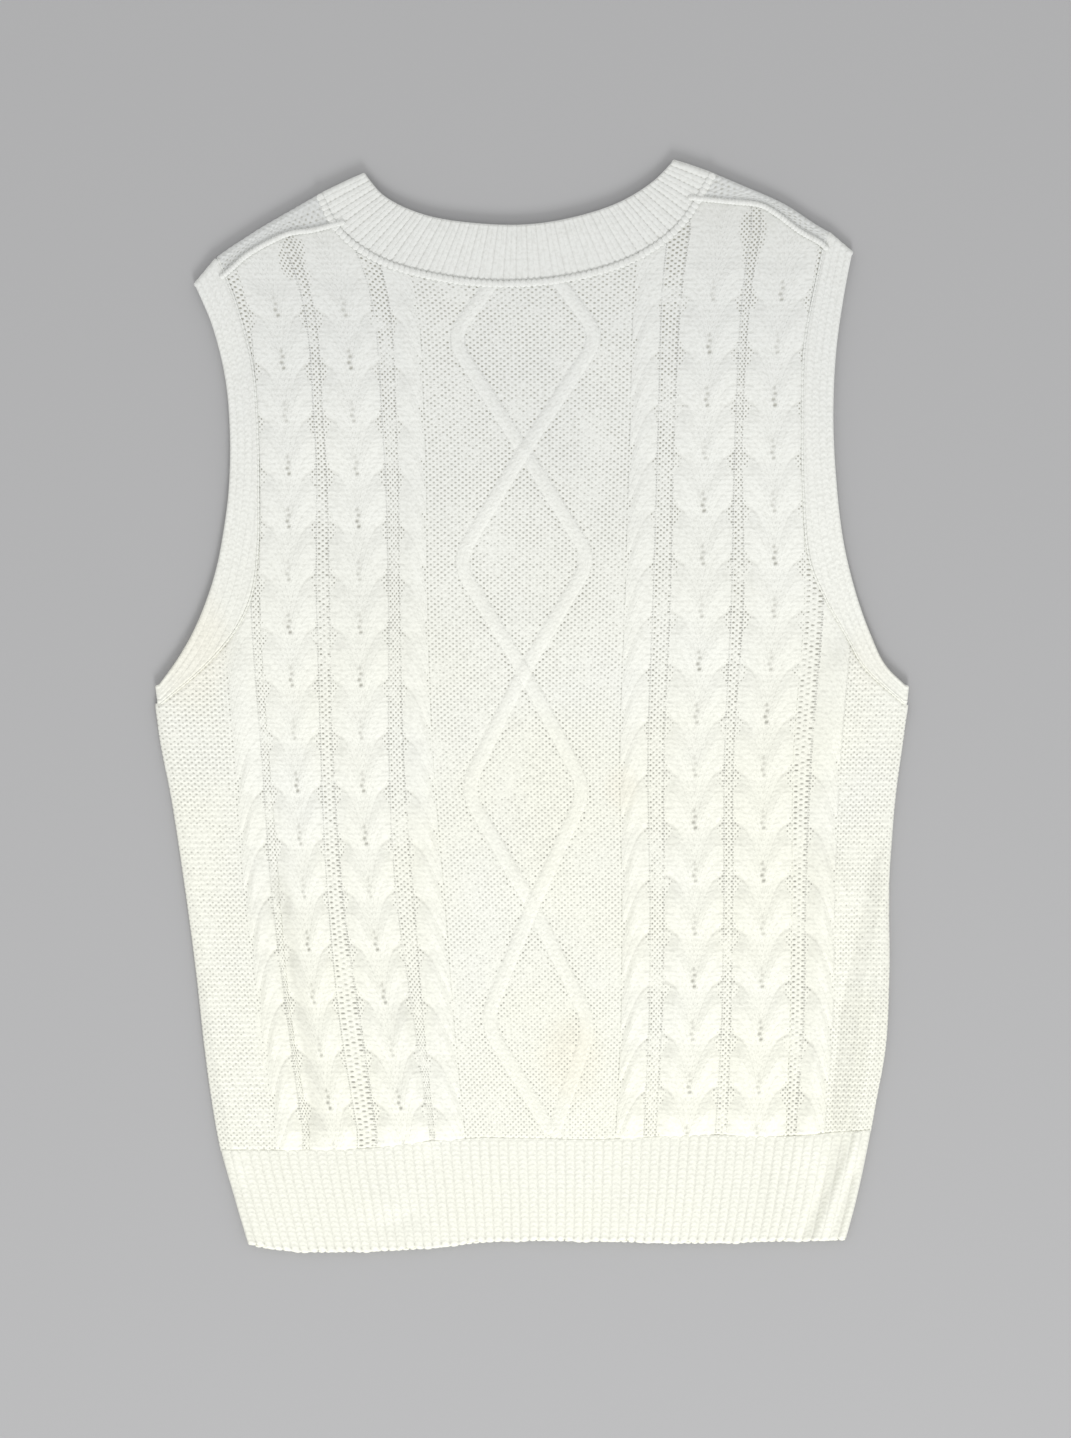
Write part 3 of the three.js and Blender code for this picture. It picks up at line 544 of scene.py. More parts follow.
class Wool:
    """A value in a wool's shader. A sum written with it adds the nodes that work the sum out."""

    def __init__(self, tree, socket=None):
        self.tree = tree
        self.socket = socket

    def node(self, kind, settings, values, output=0):
        """Adds any node: its type, its settings, and the values or links of its sockets."""
        made = self.tree.nodes.new(kind)
        for name, value in settings.items():
            setattr(made, name, value)
        for name, value in values.items():
            if isinstance(value, Wool):
                self.tree.links.new(value.socket, made.inputs[name])
            else:
                made.inputs[name].default_value = value
        return Wool(self.tree, made.outputs[output])

    def maths(self, operation, *values):
        return self.node("ShaderNodeMath", {"operation": operation}, dict(enumerate(values)))

    def __add__(self, other):
        return self.maths("ADD", self, other)

    def __mul__(self, other):
        return self.maths("MULTIPLY", self, other)

    def __sub__(self, other):
        return self.maths("SUBTRACT", self, other)

    def __rsub__(self, other):
        return self.maths("SUBTRACT", other, self)

    __radd__ = __add__
    __rmul__ = __mul__

    def wave(self):
        """Cosine of whole turns."""
        return self.maths("COSINE", self * whole_turn)

    def part(self):
        """What is left of it after whole numbers."""
        return self.maths("FRACT", self)

    def size(self):
        """The number without its sign."""
        return self.maths("ABSOLUTE", self)

    def from_middle(self):
        """How far it lies from the middle between two whole numbers, 0 to 0.5."""
        return (self.part() - 0.5).size()

    def rise(self, low, high):
        """From 0 at a low value to 1 at a high one, softly."""
        limits = {"Value": self, "From Min": low, "From Max": high}
        return self.node("ShaderNodeMapRange", {"interpolation_type": "SMOOTHSTEP"}, limits)

    def fleck(self, place, scale, detail):
        """A soft random value over the cloth, finer as scale grows."""
        return self.node("ShaderNodeTexNoise", {}, {"Vector": place, "Scale": scale, "Detail": detail})

    def mix(self, from_colour, to_colour):
        """A colour between two, by this value."""
        ends = {0: self, 6: from_colour, 7: to_colour}
        return self.node("ShaderNodeMix", {"data_type": "RGBA"}, ends, output=2)


light_wool = (0.85, 0.856, 0.80, 1)
warm_wool = (0.872, 0.872, 0.772, 1)
# grey of the painted shade towards the top, and of random grey patches
top_shade_and_patch_grey = (0.74, 0.75, 0.725, 1)
stained_wool = (0.86, 0.79, 0.63, 1)
# The colour that painted shade darkens towards, in stitch holes, grooves, creases and hollows; random dark
# flecks use it too.
painted_shade_and_fleck_wool = (0.36, 0.355, 0.31, 1)
shaded_wool = (0.44, 0.46, 0.48, 1)
stains = [  # x, y, half width, half height, strength
    (0.024, -0.222, 0.026, 0.034, 0.42), (0.056, -0.052, 0.014, 0.018, 0.35),
    (-0.214, 0.036, 0.03, 0.05, 0.4), (0.214, 0.03, 0.02, 0.03, 0.2),
]


def wool_material(name, stitching, shade=0.0):
    """Off-white wool. stitching gives the stitches' height in millimetres and their painted shade, 0 to 1:
    in holes, grooves, creases and hollows, and random dark flecks on the linking rows.
    """
    material = bpy.data.materials.new(name)
    material.use_nodes = True
    tree = material.node_tree
    shader = tree.nodes["Principled BSDF"]
    wool = Wool(tree)
    place = wool.node("ShaderNodeTexCoord", {}, {}, output="Object")
    stitch_height, painted_shade_and_flecks = stitching(wool, place)
    spread = wool.node("ShaderNodeSeparateXYZ", {}, {0: place}, output=0)
    upward = wool.node("ShaderNodeSeparateXYZ", {}, {0: place}, output=1)
    patches = wool.fleck(place, 9.0, 3.0)
    mottle = wool.fleck(place, 480.0, 2.0)
    fibre = wool.fleck(place, 1500.0, 3.0)
    warmth = (patches + (0.06 - upward) * 0.9).rise(0.3, 0.85)
    colour = warmth.mix(light_wool, warm_wool)
    # painted shade: greyer towards the top, where less light falls, with random grey patches
    top_shade_and_patches = (patches * 0.8 + (upward - 0.02) * 2.6).rise(0.3, 1.1)
    colour = top_shade_and_patches.mix(colour, top_shade_and_patch_grey)
    for stain_x, stain_y, width, height, strength in stains:
        across = (spread - stain_x) * (1 / width)
        along = (upward - stain_y) * (1 / height)
        stain = 1 - (across * across + along * along).rise(0.0, 1.0)
        colour = (stain * patches * strength).mix(colour, stained_wool)
    if shade:
        colour = (patches * shade).mix(colour, shaded_wool)
    colour = ((0.6 - mottle).rise(0.0, 0.3) * 0.15).mix(colour, painted_shade_and_fleck_wool)
    # painted shade in the holes, grooves, creases and hollows; on the linking rows this is random dark
    # flecks
    colour = painted_shade_and_flecks.mix(colour, painted_shade_and_fleck_wool)
    tree.links.new(colour.socket, shader.inputs["Base Color"])
    height = stitch_height * mm + mottle * 0.0002 + fibre * 0.00022
    relief = wool.node("ShaderNodeBump", {}, {"Strength": 0.8, "Distance": 1.0, "Height": height})
    tree.links.new(relief.socket, shader.inputs["Normal"])
    shader.inputs["Roughness"].default_value = 0.92
    shader.inputs["Specular IOR Level"].default_value = 0.25
    shader.inputs["Sheen Weight"].default_value = 0.22
    shader.inputs["Sheen Roughness"].default_value = 0.6
    return material


def marked(wool, name):
    return wool.node("ShaderNodeAttribute", {"attribute_name": name}, {}, output="Fac")


def mapped(wool, name):
    """Both numbers of a stitch map."""
    both = wool.node("ShaderNodeUVMap", {"uv_map": name}, {})
    across = wool.node("ShaderNodeSeparateXYZ", {}, {0: both}, output=0)
    along = wool.node("ShaderNodeSeparateXYZ", {}, {0: both}, output=1)
    return across, along


def cable_stitching(wool, place):
    across, along = mapped(wool, "stitches")
    strand, _ = mapped(wool, "strands")
    smooth_knit = marked(wool, "smooth_knit")
    purl = 1 - smooth_knit
    uneven = wool.fleck(place, 300.0, 2.0)
    drift = wool.fleck(place, 45.0, 2.0)
    dots = (across.wave() * along.wave() * -1).rise(0.2, 0.85)
    dots = dots * (uneven * 1.4 + drift - 0.52).rise(0.3, 0.85)
    leg = strand.from_middle()
    slant = (along + leg * 1.1).wave()
    # painted shade in the gaps between the legs of the knit stitches
    shade_between_legs = leg.rise(0.3, 0.5) * ((along + 0.5).wave() * -1).rise(-0.3, 0.9)
    shade_between_legs = shade_between_legs + (1 - leg.rise(0.0, 0.16)) * 0.4
    height = smooth_knit * (slant * 0.05 - leg.rise(0.36, 0.5) * 0.12) - purl * dots * 0.22
    # painted shade in the purl holes, pulled stitches, creases and hollows
    painted_shade_and_flecks = purl * dots * marked(wool, "dot_shade") * 0.76 + marked(wool, "painted_shade_mark") * 0.9
    painted_shade_and_flecks = painted_shade_and_flecks + smooth_knit * shade_between_legs * uneven * 0.2
    return height, painted_shade_and_flecks.maths("MINIMUM", painted_shade_and_flecks, 1.0)


cable_wool = wool_material("cable_wool", cable_stitching)
for part_name, first_zone, last_zone, flat, flat_area in (
    ("back_left_side", 0, 2, (0.073, 0.560), 0.0215),
    ("back_left_cables", 3, 7, (0.112, 0.585), 0.0620),
    ("back_middle", middle_zone, middle_zone, (0.137, 0.557), 0.0655),
    ("back_right_cables", 9, 13, (0.117, 0.593), 0.0660),
    ("back_right_side", 14, 16, (0.073, 0.566), 0.0215),
):
    part = back_piece(part_name, first_zone, last_zone)
    part.data.materials.append(cable_wool)
    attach(part, "root")
    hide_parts("back_panel")

# The hem ribs: on each layer 68 ribs of one plain and one purl wale, which draw the vest in at the waist.
# They are linked to the body along the top, and cast off in a slightly wavy lower edge.
hem_ribs = 68
hem_rib_height = 0.65
hem_course = 3.0
hem_roll = 2.6


def ridge(count, power=2.6):
    """The round top of a rib, with a narrow groove at each whole number."""
    return 1 - np.abs(2 * (count - np.floor(count)) - 1) ** power


def hem_piece(name, rows, steps, floor, face, rib_height, soft):
    """One layer of the hem, with steps columns to a rib. soft is 1 where it shows the vest's folds."""
    rib, share = np.meshgrid(np.arange(hem_ribs * steps + 1) / steps, np.arange(rows + 1) / rows)
    left_y = hem["edge"][0] + (hem["seam"][0] - hem["edge"][0]) * share
    right_y = hem["edge"][-1] + (hem["seam"][-1] - hem["edge"][-1]) * share
    left = smooth_table(body["y"], body["left"], left_y)
    right = smooth_table(body["y"], body["right"], right_y)
    x = left + (right - left) * rib / hem_ribs
    top = hem_seam(x) + 0.9
    wave = 0.9 * np.sin(x / 7.3) + 0.7 * np.sin(x / 3.1 + 1)
    bottom = smooth_table(hem["x"], hem["edge"], x) - 0.7 * ridge(rib) + 0.6 + 0.5 * wave
    y = bottom + (top - bottom) * share
    wobble = 0.85 + 0.3 * np.sin(rib * 0.7 + 1) * np.sin(y / 19 + rib * 0.13)
    knit = 0.06 * ridge(rib) * np.cos(whole_turn * y / hem_course)
    z = face + soft * fold_height(x, y) + rib_height * (ridge(rib) * wobble - 0.4 + knit)
    z = z - 0.15 * soft * (1 - rounded(top - y, 2.4))
    edge = np.minimum(np.minimum(y - bottom, 1.2 * (x - x[:, :1])), 1.2 * (x[:, -1:] - x))
    z = floor + (z - floor) * np.maximum(rounded(edge, hem_roll), 0.14)
    quads = grid_quads(*x.shape, np.ones((rows, hem_ribs * steps), bool))
    # painted shade in the holes between the ribs just above the lower edge
    low_dot_shade = np.exp(-(((y - bottom - 2.2) / 0.9) ** 2)) * (1 - ridge(rib, 1.2)) ** 2
    from_side = side_distance(x, np.maximum(y, body["y"][0]))
    # painted shade: the cloth is greyed where it sinks into a hollow
    hollow_shade = 0.28 * soft * ramp((loft - fold_height(x, y)) / loft) * ramp(from_side / 4)
    maps = {"stitches": np.stack([rib, y / hem_course], axis=-1).reshape(-1, 2)}
    marks = {"painted_shade_mark": np.maximum(low_dot_shade, hollow_shade).reshape(-1)}
    return closed_piece(name, np.stack([x, y, z], axis=-1).reshape(-1, 3), quads, floor, maps, marks)


def rib_stitching(wool, place):
    across, along = mapped(wool, "stitches")
    leg = across.from_middle()
    groove = leg.rise(0.36, 0.5)
    slant = (along + leg * 0.9).wave()
    dots = (along.wave() * -1).rise(-0.2, 0.9)
    height = slant * 0.07 * (1 - groove) - leg.rise(0.3, 0.5) * 0.2
    # painted shade in the grooves between the ribs and in the marked holes and hollows
    return height, groove * (dots * 0.07 + 0.13) + marked(wool, "painted_shade_mark") * 0.5


rib_wool = wool_material("rib_wool", rib_stitching, shade=0.14)
hem_back = hem_piece(
    "hem_back", rows=76, steps=8, floor=under_back, face=back_face, rib_height=hem_rib_height, soft=1.0
)
hem_front = hem_piece("hem_front", rows=14, steps=4, floor=0.02, face=2.2, rib_height=0.15, soft=0.0)
for hem_part, node, under_it in (
    (hem_back, "hem_rib_back", "hem_front"),
    (hem_front, "hem_rib_front", "table"),
):
    hem_part.data.materials.append(rib_wool)
    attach(hem_part, "root")
    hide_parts(node)

# The neckband: a ribbed strip of the same wool. It runs round the back of the neck, turns over at the
# shoulders and goes down to the point of the V in front, under the back. It is linked on along one edge.
cloth = 2.4
turn_radius = 2.6
layer_middle = {"back": 3.95, "front": 1.22}
neck_ribs = 36
neck_rib_height = 0.36
vee_steps = 60
point_inside = 20
neck_edge = [
    (-105.8, 336.2), (-93, 321.6), (-68.7, 310), (-36, 304.4), (0, 303.8), (33.4, 310),
    (57, 318.6), (76.5, 331), (89.5, 344.2),
]
vee_edge = (-8, 150)
vee_seam = (-8, 104)


def level_run(edges, seams, layer, share):
    """Lines across a strip where it lies flat, each from its edge to its seam, and the way it faces."""
    runs = []
    for edge, seam in zip(edges, seams):
        line = edge * (1 - share[:, None]) + seam * share[:, None]
        height = np.full(len(share), layer_middle[layer])
        runs.append((np.column_stack([line, height]), (0, 0, 1 if layer == "back" else -1)))
    return runs


def fold_run(line, out):
    """Lines round a fold of the cloth, from the back's side of it to the front's."""
    middle = (layer_middle["back"] + layer_middle["front"]) / 2
    swing = (layer_middle["back"] - layer_middle["front"]) / 2
    runs = []
    for turn in np.linspace(0, math.pi, 9)[1:-1]:
        height = np.full(len(line), middle + swing * math.cos(turn))
        facing = (out[0] * math.sin(turn), out[1] * math.sin(turn), math.cos(turn))
        runs.append((np.column_stack([line + out * swing * math.sin(turn), height]), facing))
    return runs


def strip_fold(edge, seam, inside, share):
    """The fold at the end of a strip."""
    along = (edge - seam) / np.linalg.norm(edge - seam)
    out = np.array([along[1], -along[0]])
    out = out if out @ (edge - inside) > 0 else -out
    return fold_run(edge * (1 - share[:, None]) + seam * share[:, None], out)


def ribbon(name, runs, form, painted_shade_at, ring, pitch):
    """A strip of cloth through lines laid across it. form gives its stitches' height over its plain face."""
    middle = np.array([line for line, _ in runs])
    wide = middle.shape[1]
    facing = np.array([way for _, way in runs], float)
    steps = np.linalg.norm(np.diff(middle, axis=1), axis=2)
    distance = np.concatenate([np.zeros((len(runs), 1)), np.cumsum(steps, axis=1)], axis=1)
    centre = middle[:, middle.shape[1] // 2]
    count = np.concatenate([[0], np.cumsum(np.linalg.norm(np.diff(centre, axis=0), axis=1))]) / pitch
    under = np.linspace(wide - 1, 0, 8)[1:-1].astype(int) if ring else np.arange(wide)[::-1]
    order = np.concatenate([np.arange(wide), under])
    outer = np.arange(len(order)) < wide
    place, distance, width = middle[:, order], distance[:, order], distance[:, -1:]
    count = np.broadcast_to(count[:, None], distance.shape)
    roll = rounded(np.minimum(distance, width - distance), 1.3)
    shown = np.clip(facing[:, 2:] + 0.3, 0, 1) * roll
    top = cloth / 2 * roll + form(count, distance, width, place) * shown
    offset = np.where(outer, top, -cloth / 2 * np.maximum(roll, 0.2))
    points = (place + facing[:, None, :] * offset[:, :, None]).reshape(-1, 3)
    rows, columns = distance.shape
    row, column = np.meshgrid(np.arange(rows if ring else rows - 1), np.arange(columns), indexing="ij")
    after, beside = (row + 1) % rows, (column + 1) % columns
    this_row, next_row = row * columns, after * columns
    corners = (this_row + column, this_row + beside, next_row + beside, next_row + column)
    faces = np.stack([corner.ravel() for corner in corners], axis=1).tolist()
    if not ring:
        k = np.arange(wide - 1)
        end = np.stack([k, k + 1, 2 * wide - 2 - k, 2 * wide - 1 - k], axis=1)
        faces += end[:, ::-1].tolist() + (end + (rows - 1) * columns).tolist()
    maps = {"stitches": np.stack([count, distance / course], axis=-1).reshape(-1, 2)}
    # painted shade along creases and in pulled-open stitches
    marks = {"painted_shade_mark": painted_shade_at(count, distance, width).reshape(-1)}
    piece = cloth_object(name, points, faces, maps, marks, np.arange(len(points)))
    turn_outward(piece.data)
    return piece


def turn_outward(data):
    """Turns a closed piece's faces out, where its volume says that they point in."""
    data.calc_loop_triangles()
    places = np.empty(len(data.vertices) * 3)
    data.vertices.foreach_get("co", places)
    thirds = np.empty(len(data.loop_triangles) * 3, dtype=np.int32)
    data.loop_triangles.foreach_get("vertices", thirds)
    a, b, c = np.moveaxis(places.reshape(-1, 3)[thirds.reshape(-1, 3)], 1, 0)
    if (a * np.cross(b, c)).sum() < 0:
        data.flip_normals()


def straight(start, end, steps):
    share = np.linspace(0, 1, steps + 1)[:, None]
    return np.array(start) * (1 - share) + np.array(end) * share


def neck_form(count, distance, width, place):
    lift = 0.5 * ramp((width - distance) / 4) * ramp(distance / 12)
    return neck_rib_height * (0.65 * ridge(count, 2.0) + 0.75 * ridge(2 * count, 2.0) - 0.4) + lift


def neck_stitching(wool, place):
    across, along = mapped(wool, "stitches")
    aside = wool.node("ShaderNodeSeparateXYZ", {}, {0: place}, output=0)
    groove = across.from_middle().rise(0.38, 0.5)
    half_groove = (across * 2).from_middle().rise(0.36, 0.5)
    shoulders = (aside + 0.01).size().rise(0.045, 0.09)
    dots = (along.wave() * -1).rise(-0.1, 0.9)
    # painted shade in the grooves between the ribs, stronger towards the shoulders
    painted_shade_and_flecks = (groove * 0.45 + half_groove * 0.55) * dots * (shoulders * 0.42 + 0.05)
    painted_shade_and_flecks = painted_shade_and_flecks + (groove + half_groove) * 0.05 + marked(wool, "painted_shade_mark") * 0.25
    return (groove + half_groove) * -0.12, painted_shade_and_flecks


def seam_crease_shade(count, distance, width):
    """Painted shade along the fine crease beside a linked edge."""
    return 0.3 * np.exp(-(((width - distance - 2.2) / 0.7) ** 2))


across_neck = np.linspace(0, 1, 45)
neck_steps = neck_ribs * 8
back_edge = line_through(neck_edge, neck_steps, turn_radius)
back_seam = line_through(neck_seam, neck_steps, turn_radius)
neck_length = np.linalg.norm(np.diff((back_edge + back_seam) / 2, axis=0), axis=1).sum()
vee_left = (
    straight(vee_edge, back_edge[0], vee_steps)[:-1],
    straight(vee_seam, back_seam[0], vee_steps)[:-1],
)
vee_right = (
    straight(back_edge[-1], vee_edge, vee_steps)[1:-1],
    straight(back_seam[-1], vee_seam, vee_steps)[1:-1],
)
neck_runs = level_run(*vee_left, "front", across_neck)
neck_runs += strip_fold(back_edge[0], back_seam[0], back_edge[point_inside], across_neck)[::-1]
neck_runs += level_run(back_edge, back_seam, "back", across_neck)
neck_runs += strip_fold(back_edge[-1], back_seam[-1], back_edge[-point_inside], across_neck)
neck_runs += level_run(*vee_right, "front", across_neck)
rib_pitch = neck_length / neck_ribs
neckband = ribbon("neckband_ribs", neck_runs, neck_form, seam_crease_shade, ring=True, pitch=rib_pitch)
neckband.data.materials.append(wool_material("neck_wool", neck_stitching))
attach(neckband, "root")
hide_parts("neckband")

# The armhole bands: a narrow strip of the same wool round each armhole, which turns over at the shoulder and
# at the side. Four soft cords run along it, and it is linked to the body along its inner edge.
band_cords = 4
band_cord_height = 0.2
front_step = 4
armhole_edges = {
    "left": [
        (-236.2, 12), (-222.5, 31), (-211, 52), (-199.7, 83), (-193.4, 115), (-190.4, 143),
        (-190.3, 178), (-193.4, 209), (-201.6, 241), (-212.5, 266.5),
    ],
    "right": [
        (236.6, 12), (222, 27), (212.5, 47), (204, 71), (196, 104), (191.2, 146),
        (189.6, 185), (191.5, 225), (196.8, 262), (201.6, 286.5),
    ],
}


def band_form(count, distance, width, place):
    level = fold_height(place[..., 0], place[..., 1]) * distance / width
    cords = 0.5 - 0.5 * np.cos(whole_turn * band_cords * distance / width)
    return band_cord_height * cords * (1 + 0.15 * np.cos(whole_turn * count)) + level


def band_stitching(wool, place):
    along, across = mapped(wool, "stitches")
    leg = (across * 0.72).from_middle()
    slant = (along + leg * 0.9).wave()
    height = slant * 0.07 - leg.rise(0.32, 0.5) * 0.16
    # painted shade in the grooves between the stitches' legs
    painted_shade_and_flecks = leg.rise(0.36, 0.5) * (along.wave() * -1).rise(-0.4, 0.9) * 0.13
    return height, painted_shade_and_flecks + marked(wool, "painted_shade_mark") * 0.2


band_wool = wool_material("band_wool", band_stitching)
across_band = np.linspace(0, 1, 29)
band_steps = 300
bands = {}
for side, flat in (("left", (0.026, 0.575)), ("right", (0.024, 0.605))):
    edges = line_through(armhole_edges[side], band_steps, turn_radius)
    seams = line_through(armhole_seams[side], band_steps, turn_radius)
    half_way = band_steps // 2
    band_runs = level_run(edges[half_way:0:-front_step], seams[half_way:0:-front_step], "front", across_band)
    band_runs += strip_fold(edges[0], seams[0], edges[point_inside], across_band)[::-1]
    band_runs += level_run(edges, seams, "back", across_band)
    band_runs += strip_fold(edges[-1], seams[-1], edges[-point_inside], across_band)
    last = half_way + front_step - 1
    band_runs += level_run(edges[:last:-front_step], seams[:last:-front_step], "front", across_band)
    band_name = f"armhole_band_{side}_cords"
    bands[side] = ribbon(band_name, band_runs, band_form, seam_crease_shade, ring=True, pitch=course)
    bands[side].data.materials.append(band_wool)
    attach(bands[side], "root")
    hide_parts(f"armhole_band_{side}")

# The front: one piece of the same wool in plain knitting, face down under the back. Its shoulders turn over
# the top and lie on the back of the vest, where they are linked to the back a little way below the fold.
front_reach = 7.0
side_rows = slice(3, 9)
arm_steps = 40
corner_cut = 4
strap_steps = 110
shoulder_folds = {
    "left": [
        (-212.5, 266.5), (-203.5, 278.5), (-177, 297.4), (-144.9, 316.3), (-122.9, 328.9), (-113, 334.2),
        (-105.8, 336.2),
    ],
    "right": [
        (89.5, 344.2), (98, 341.8), (112, 336.6), (130.4, 328.9), (158.8, 316.3), (178.3, 303.7),
        (199.1, 291), (202, 286),
    ],
}
strap_ends = {  # from and to along x: of the fold, of the seam
    "left": ((-199.0, -132.0), (-194.5, -119.5)),
    "right": ((112.5, 189.0), (100.0, 184.5)),
}


def between(points, ends, steps):
    """The stretch of a line between two places across the vest."""
    line = line_through(points, 200)
    x = np.linspace(*ends, steps + 1)
    return np.column_stack([x, np.interp(x, line[:, 0], line[:, 1])])


def strap_form(count, distance, width, place):
    return 0.22 * np.cos(whole_turn * distance / wale) * np.cos(whole_turn * count) + 0.4


def strap_hole_shade(count, distance, width):
    """Painted shade in the rows of stitches that the shoulder seam pulls open."""
    pulled = np.exp(-(((count - 1.5) / 1.1) ** 2)) * (0.6 + 0.4 * np.sin(distance / 9 + 1))
    grid = np.cos(whole_turn * distance / wale) * np.cos(whole_turn * count)
    return 0.9 * pulled * ramp(-grid * 1.5 - 0.4)


def front_outline():
    """The front's edge, from the left of the hem round to its right and back over the shoulders."""
    left_end = smooth_table(body["y"], body["left"], hem["seam"][0])
    right_end = smooth_table(body["y"], body["right"], hem["seam"][-1])
    x = np.linspace(left_end, right_end, 30)
    hem_line = np.column_stack([x, hem_seam(x) + 1.2])
    right_side = np.column_stack([body["right"][side_rows], body["y"][side_rows]])
    left_side = np.column_stack([body["left"][side_rows], body["y"][side_rows]])[::-1]
    right_arm = line_through(armhole_seams["right"], arm_steps, corner_cut)
    left_arm = line_through(armhole_seams["left"], arm_steps, corner_cut)[::-1]
    vee = np.array([neck_seam[-1], vee_seam, neck_seam[0]]) - np.array([[1, 6], [0, 1], [-1, 6]])
    return np.concatenate([hem_line, right_side, right_arm, vee, left_arm, left_side])


def plate(name, outline, layers):
    """A flat piece of cloth from its outline, with its edge rolled through layers of inset and height."""
    along = np.roll(outline, -1, axis=0) - np.roll(outline, 1, axis=0)
    along = along / np.linalg.norm(along, axis=1)[:, None]
    inward = np.column_stack([-along[:, 1], along[:, 0]])
    count = len(outline)
    rings = [np.column_stack([outline + inward * inset, np.full(count, height)]) for inset, height in layers]
    points = np.concatenate(rings)
    faces = [list(range(count))[::-1]]
    for low in range(0, count * (len(layers) - 1), count):
        for k in range(count):
            beside = (k + 1) % count
            faces.append([low + k, low + beside, low + count + beside, low + count + k])
    faces.append(list(range(count * (len(layers) - 1), count * len(layers))))
    maps = {"stitches": points[:, :2] / np.array([wale, course])}
    marks = {"painted_shade_mark": np.zeros(len(points))}
    return cloth_object(name, points, faces, maps, marks, np.arange(len(points)))


def plain_stitching(wool, place):
    across, along = mapped(wool, "stitches")
    leg = across.from_middle()
    slant = (along + leg * 1.1).wave()
    # painted shade in the gaps between the stitches' legs
    dots = leg.rise(0.4, 0.5) * (along.wave() * -1).rise(0.0, 0.9)
    return slant * 0.09 - leg.rise(0.36, 0.5) * 0.14, dots * 0.3 + marked(wool, "painted_shade_mark") * 0.9


plain_wool = wool_material("plain_wool", plain_stitching)
front_layers = ((0.8, 0.02), (0.15, 0.5), (0.0, 1.2), (0.2, 1.9), (0.9, 2.36))
front = plate("front_knitting", front_outline(), front_layers)
front_parts = [front]
for side, (fold_ends, seam_ends) in strap_ends.items():
    fold_line = between(shoulder_folds[side], fold_ends, strap_steps)
    seam_line = between(shoulder_seams[side], seam_ends, strap_steps)
    span = fold_line[-1] - fold_line[0]
    outward = np.array([-span[1], span[0]]) / np.linalg.norm(span)
    fold_line = fold_line - outward * turn_radius
    strap_runs = []
    for share in np.linspace(0, 1, 36):
        line = seam_line * (1 - share) + fold_line * share
        strap_runs.append((np.column_stack([line, np.full(len(line), layer_middle["back"])]), (0, 0, 1)))
    strap_runs += fold_run(fold_line, outward)
    low_line = np.column_stack([fold_line, np.full(len(fold_line), layer_middle["front"])])
    for reach in (0, front_reach):
        strap_runs.append((low_line - np.array([*outward * reach, 0]), (0, 0, -1)))
    strap_name = f"front_shoulder_{side}"
    strap = ribbon(strap_name, strap_runs, strap_form, strap_hole_shade, ring=False, pitch=course)
    front_parts.append(strap)
strap_wool = wool_material("strap_wool", plain_stitching, shade=0.55)
for part in front_parts:
    part.data.materials.append(plain_wool if part == front else strap_wool)
    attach(part, "root")
    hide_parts("front_panel")

# The linking: rows of round chain stitches in the same wool, which join the bands, the hem and the shoulders
# to the back. A looser row of cast-off loops finishes the hem's lower edge.
link_faces = (8, 5)


def link_tree():
    """Geometry nodes that lay stitches along a line."""
    tree = bpy.data.node_groups.new("linking_row", "GeometryNodeTree")
    inputs = (
        ("Line", "NodeSocketGeometry"), ("Spacing", "NodeSocketFloat"), ("Stitch Size", "NodeSocketVector"),
        ("Wool", "NodeSocketMaterial"),
    )
    for name, kind in inputs:
        tree.interface.new_socket(name, in_out="INPUT", socket_type=kind)
    tree.interface.new_socket("Row", in_out="OUTPUT", socket_type="NodeSocketGeometry")
    made = {}
    kinds = {
        "in": "NodeGroupInput", "out": "NodeGroupOutput", "curve": "GeometryNodeMeshToCurve",
        "points": "GeometryNodeResampleCurve", "tangent": "GeometryNodeInputTangent",
        "align": "FunctionNodeAlignRotationToVector", "bead": "GeometryNodeMeshUVSphere",
        "shape": "GeometryNodeTransform", "row": "GeometryNodeInstanceOnPoints",
        "real": "GeometryNodeRealizeInstances", "soft": "GeometryNodeSetShadeSmooth",
        "wool": "GeometryNodeSetMaterial",
    }
    for name, kind in kinds.items():
        made[name] = tree.nodes.new(kind)
    made["bead"].inputs["Segments"].default_value = link_faces[0]
    made["bead"].inputs["Rings"].default_value = link_faces[1]
    made["bead"].inputs["Radius"].default_value = 0.5
    made["align"].axis = "X"
    links = (
        ("in", "Line", "curve", "Mesh"), ("curve", "Curve", "points", "Curve"),
        ("in", "Spacing", "points", "Length"), ("points", "Curve", "row", "Points"),
        ("tangent", "Tangent", "align", "Vector"), ("align", "Rotation", "row", "Rotation"),
        ("bead", "Mesh", "shape", "Geometry"), ("in", "Stitch Size", "shape", "Scale"),
        ("shape", "Geometry", "row", "Instance"), ("row", "Instances", "real", "Geometry"),
        ("real", "Geometry", "soft", "Geometry"), ("soft", "Geometry", "wool", "Geometry"),
        ("in", "Wool", "wool", "Material"), ("wool", "Geometry", "out", "Row"),
    )
    made["points"].mode = "LENGTH"
    for source, output, target, socket in links:
        tree.links.new(made[source].outputs[output], made[target].inputs[socket])
    return tree


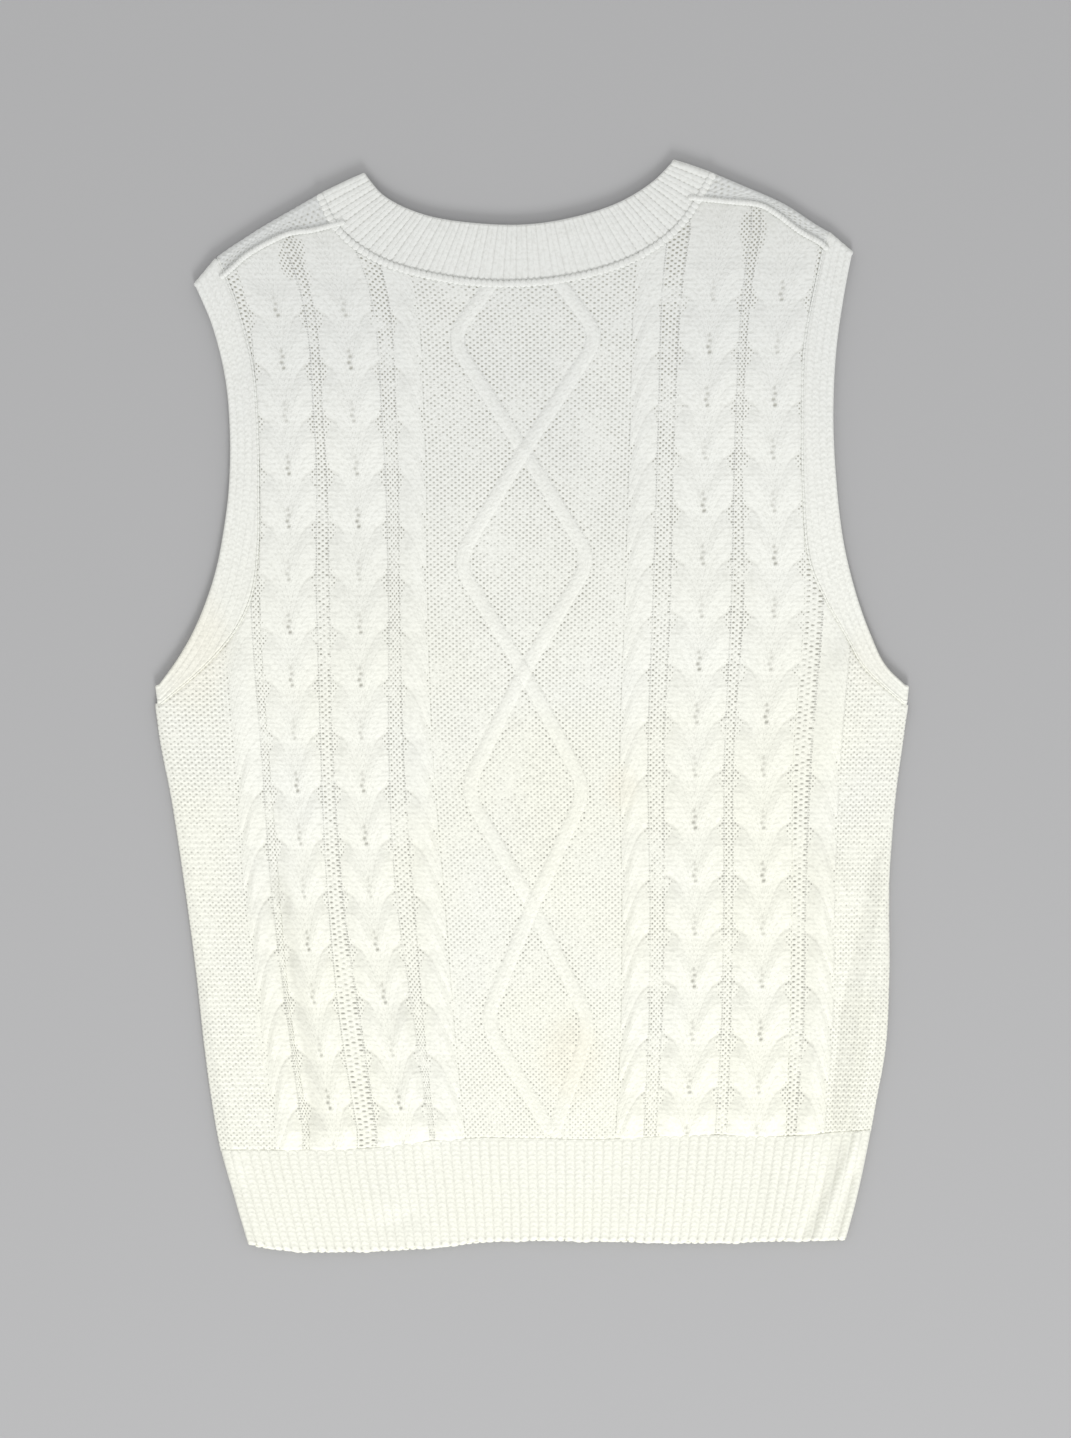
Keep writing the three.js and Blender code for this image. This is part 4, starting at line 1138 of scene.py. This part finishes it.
def linking_row(name, tree, line, spacing, size, material):
    """One row of stitches through points, as a plain mesh."""
    placed = (np.array(line) - np.array([0, drawn_middle_y, 0])) * mm
    data = bpy.data.meshes.new(name)
    data.from_pydata(placed.tolist(), [(k, k + 1) for k in range(len(placed) - 1)], [])
    piece = bpy.data.objects.new(name, data)
    bpy.context.collection.objects.link(piece)
    modifier = piece.modifiers.new("linking", "NODES")
    modifier.node_group = tree
    sizes = {"Spacing": spacing * mm, "Stitch Size": [part * mm for part in size], "Wool": material}
    for item in tree.interface.items_tree:
        if item.in_out == "INPUT" and item.name in sizes:
            modifier[item.identifier] = sizes[item.name]
    bpy.context.view_layer.update()
    evaluated = piece.evaluated_get(bpy.context.evaluated_depsgraph_get())
    real = bpy.data.meshes.new_from_object(evaluated)
    piece.modifiers.remove(modifier)
    piece.data = real
    return piece


def link_stitching(wool, place):
    fibre = wool.fleck(place, 900.0, 2.0)
    return fibre * 0.12, (0.5 - fibre).rise(0.0, 0.3) * 0.2


link_wool = wool_material("link_wool", link_stitching)
linking = link_tree()


def raised(line, height, folds_show=1.0):
    line = np.array(line)
    return np.column_stack([line, height + folds_show * fold_height(line[:, 0], line[:, 1])])


hem_x = np.linspace(body["left"][2] + 3, body["right"][2] - 3, 120)
hem_seam_line = np.column_stack([hem_x, hem_seam(hem_x) + 0.6])
edge_x = np.linspace(-172, 195, 160)
hem_edge_line = np.column_stack([edge_x, smooth_table(hem["x"], hem["edge"], edge_x) + 0.9])
rows = {  # line, spacing, size of a stitch
    "neck_linking": (raised(back_seam, 5.5), 3.5, (5.2, 5.6, 1.7)),
    "hem_linking": (raised(hem_seam_line, 4.5), 2.9, (4.2, 1.9, 1.1)),
    "hem_cast_off": (raised(hem_edge_line, 3.5, 0.5), 4.4, (4.6, 2.0, 1.7)),
}
for side in ("left", "right"):
    arm_line = line_through(armhole_seams[side], band_steps, corner_cut)
    shoulder_line = between(shoulder_seams[side], strap_ends[side][1], 72)
    rows[f"armhole_linking_{side}"] = (raised(arm_line, 4.7), 3.3, (4.8, 1.5, 1.1))
    rows[f"shoulder_linking_{side}"] = (raised(shoulder_line, 5.8), 2.2, (4.6, 3.9, 2.6))
for name, (line, spacing, size) in rows.items():
    row = linking_row(name, linking, line, spacing, size, link_wool)
    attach(row, "root")
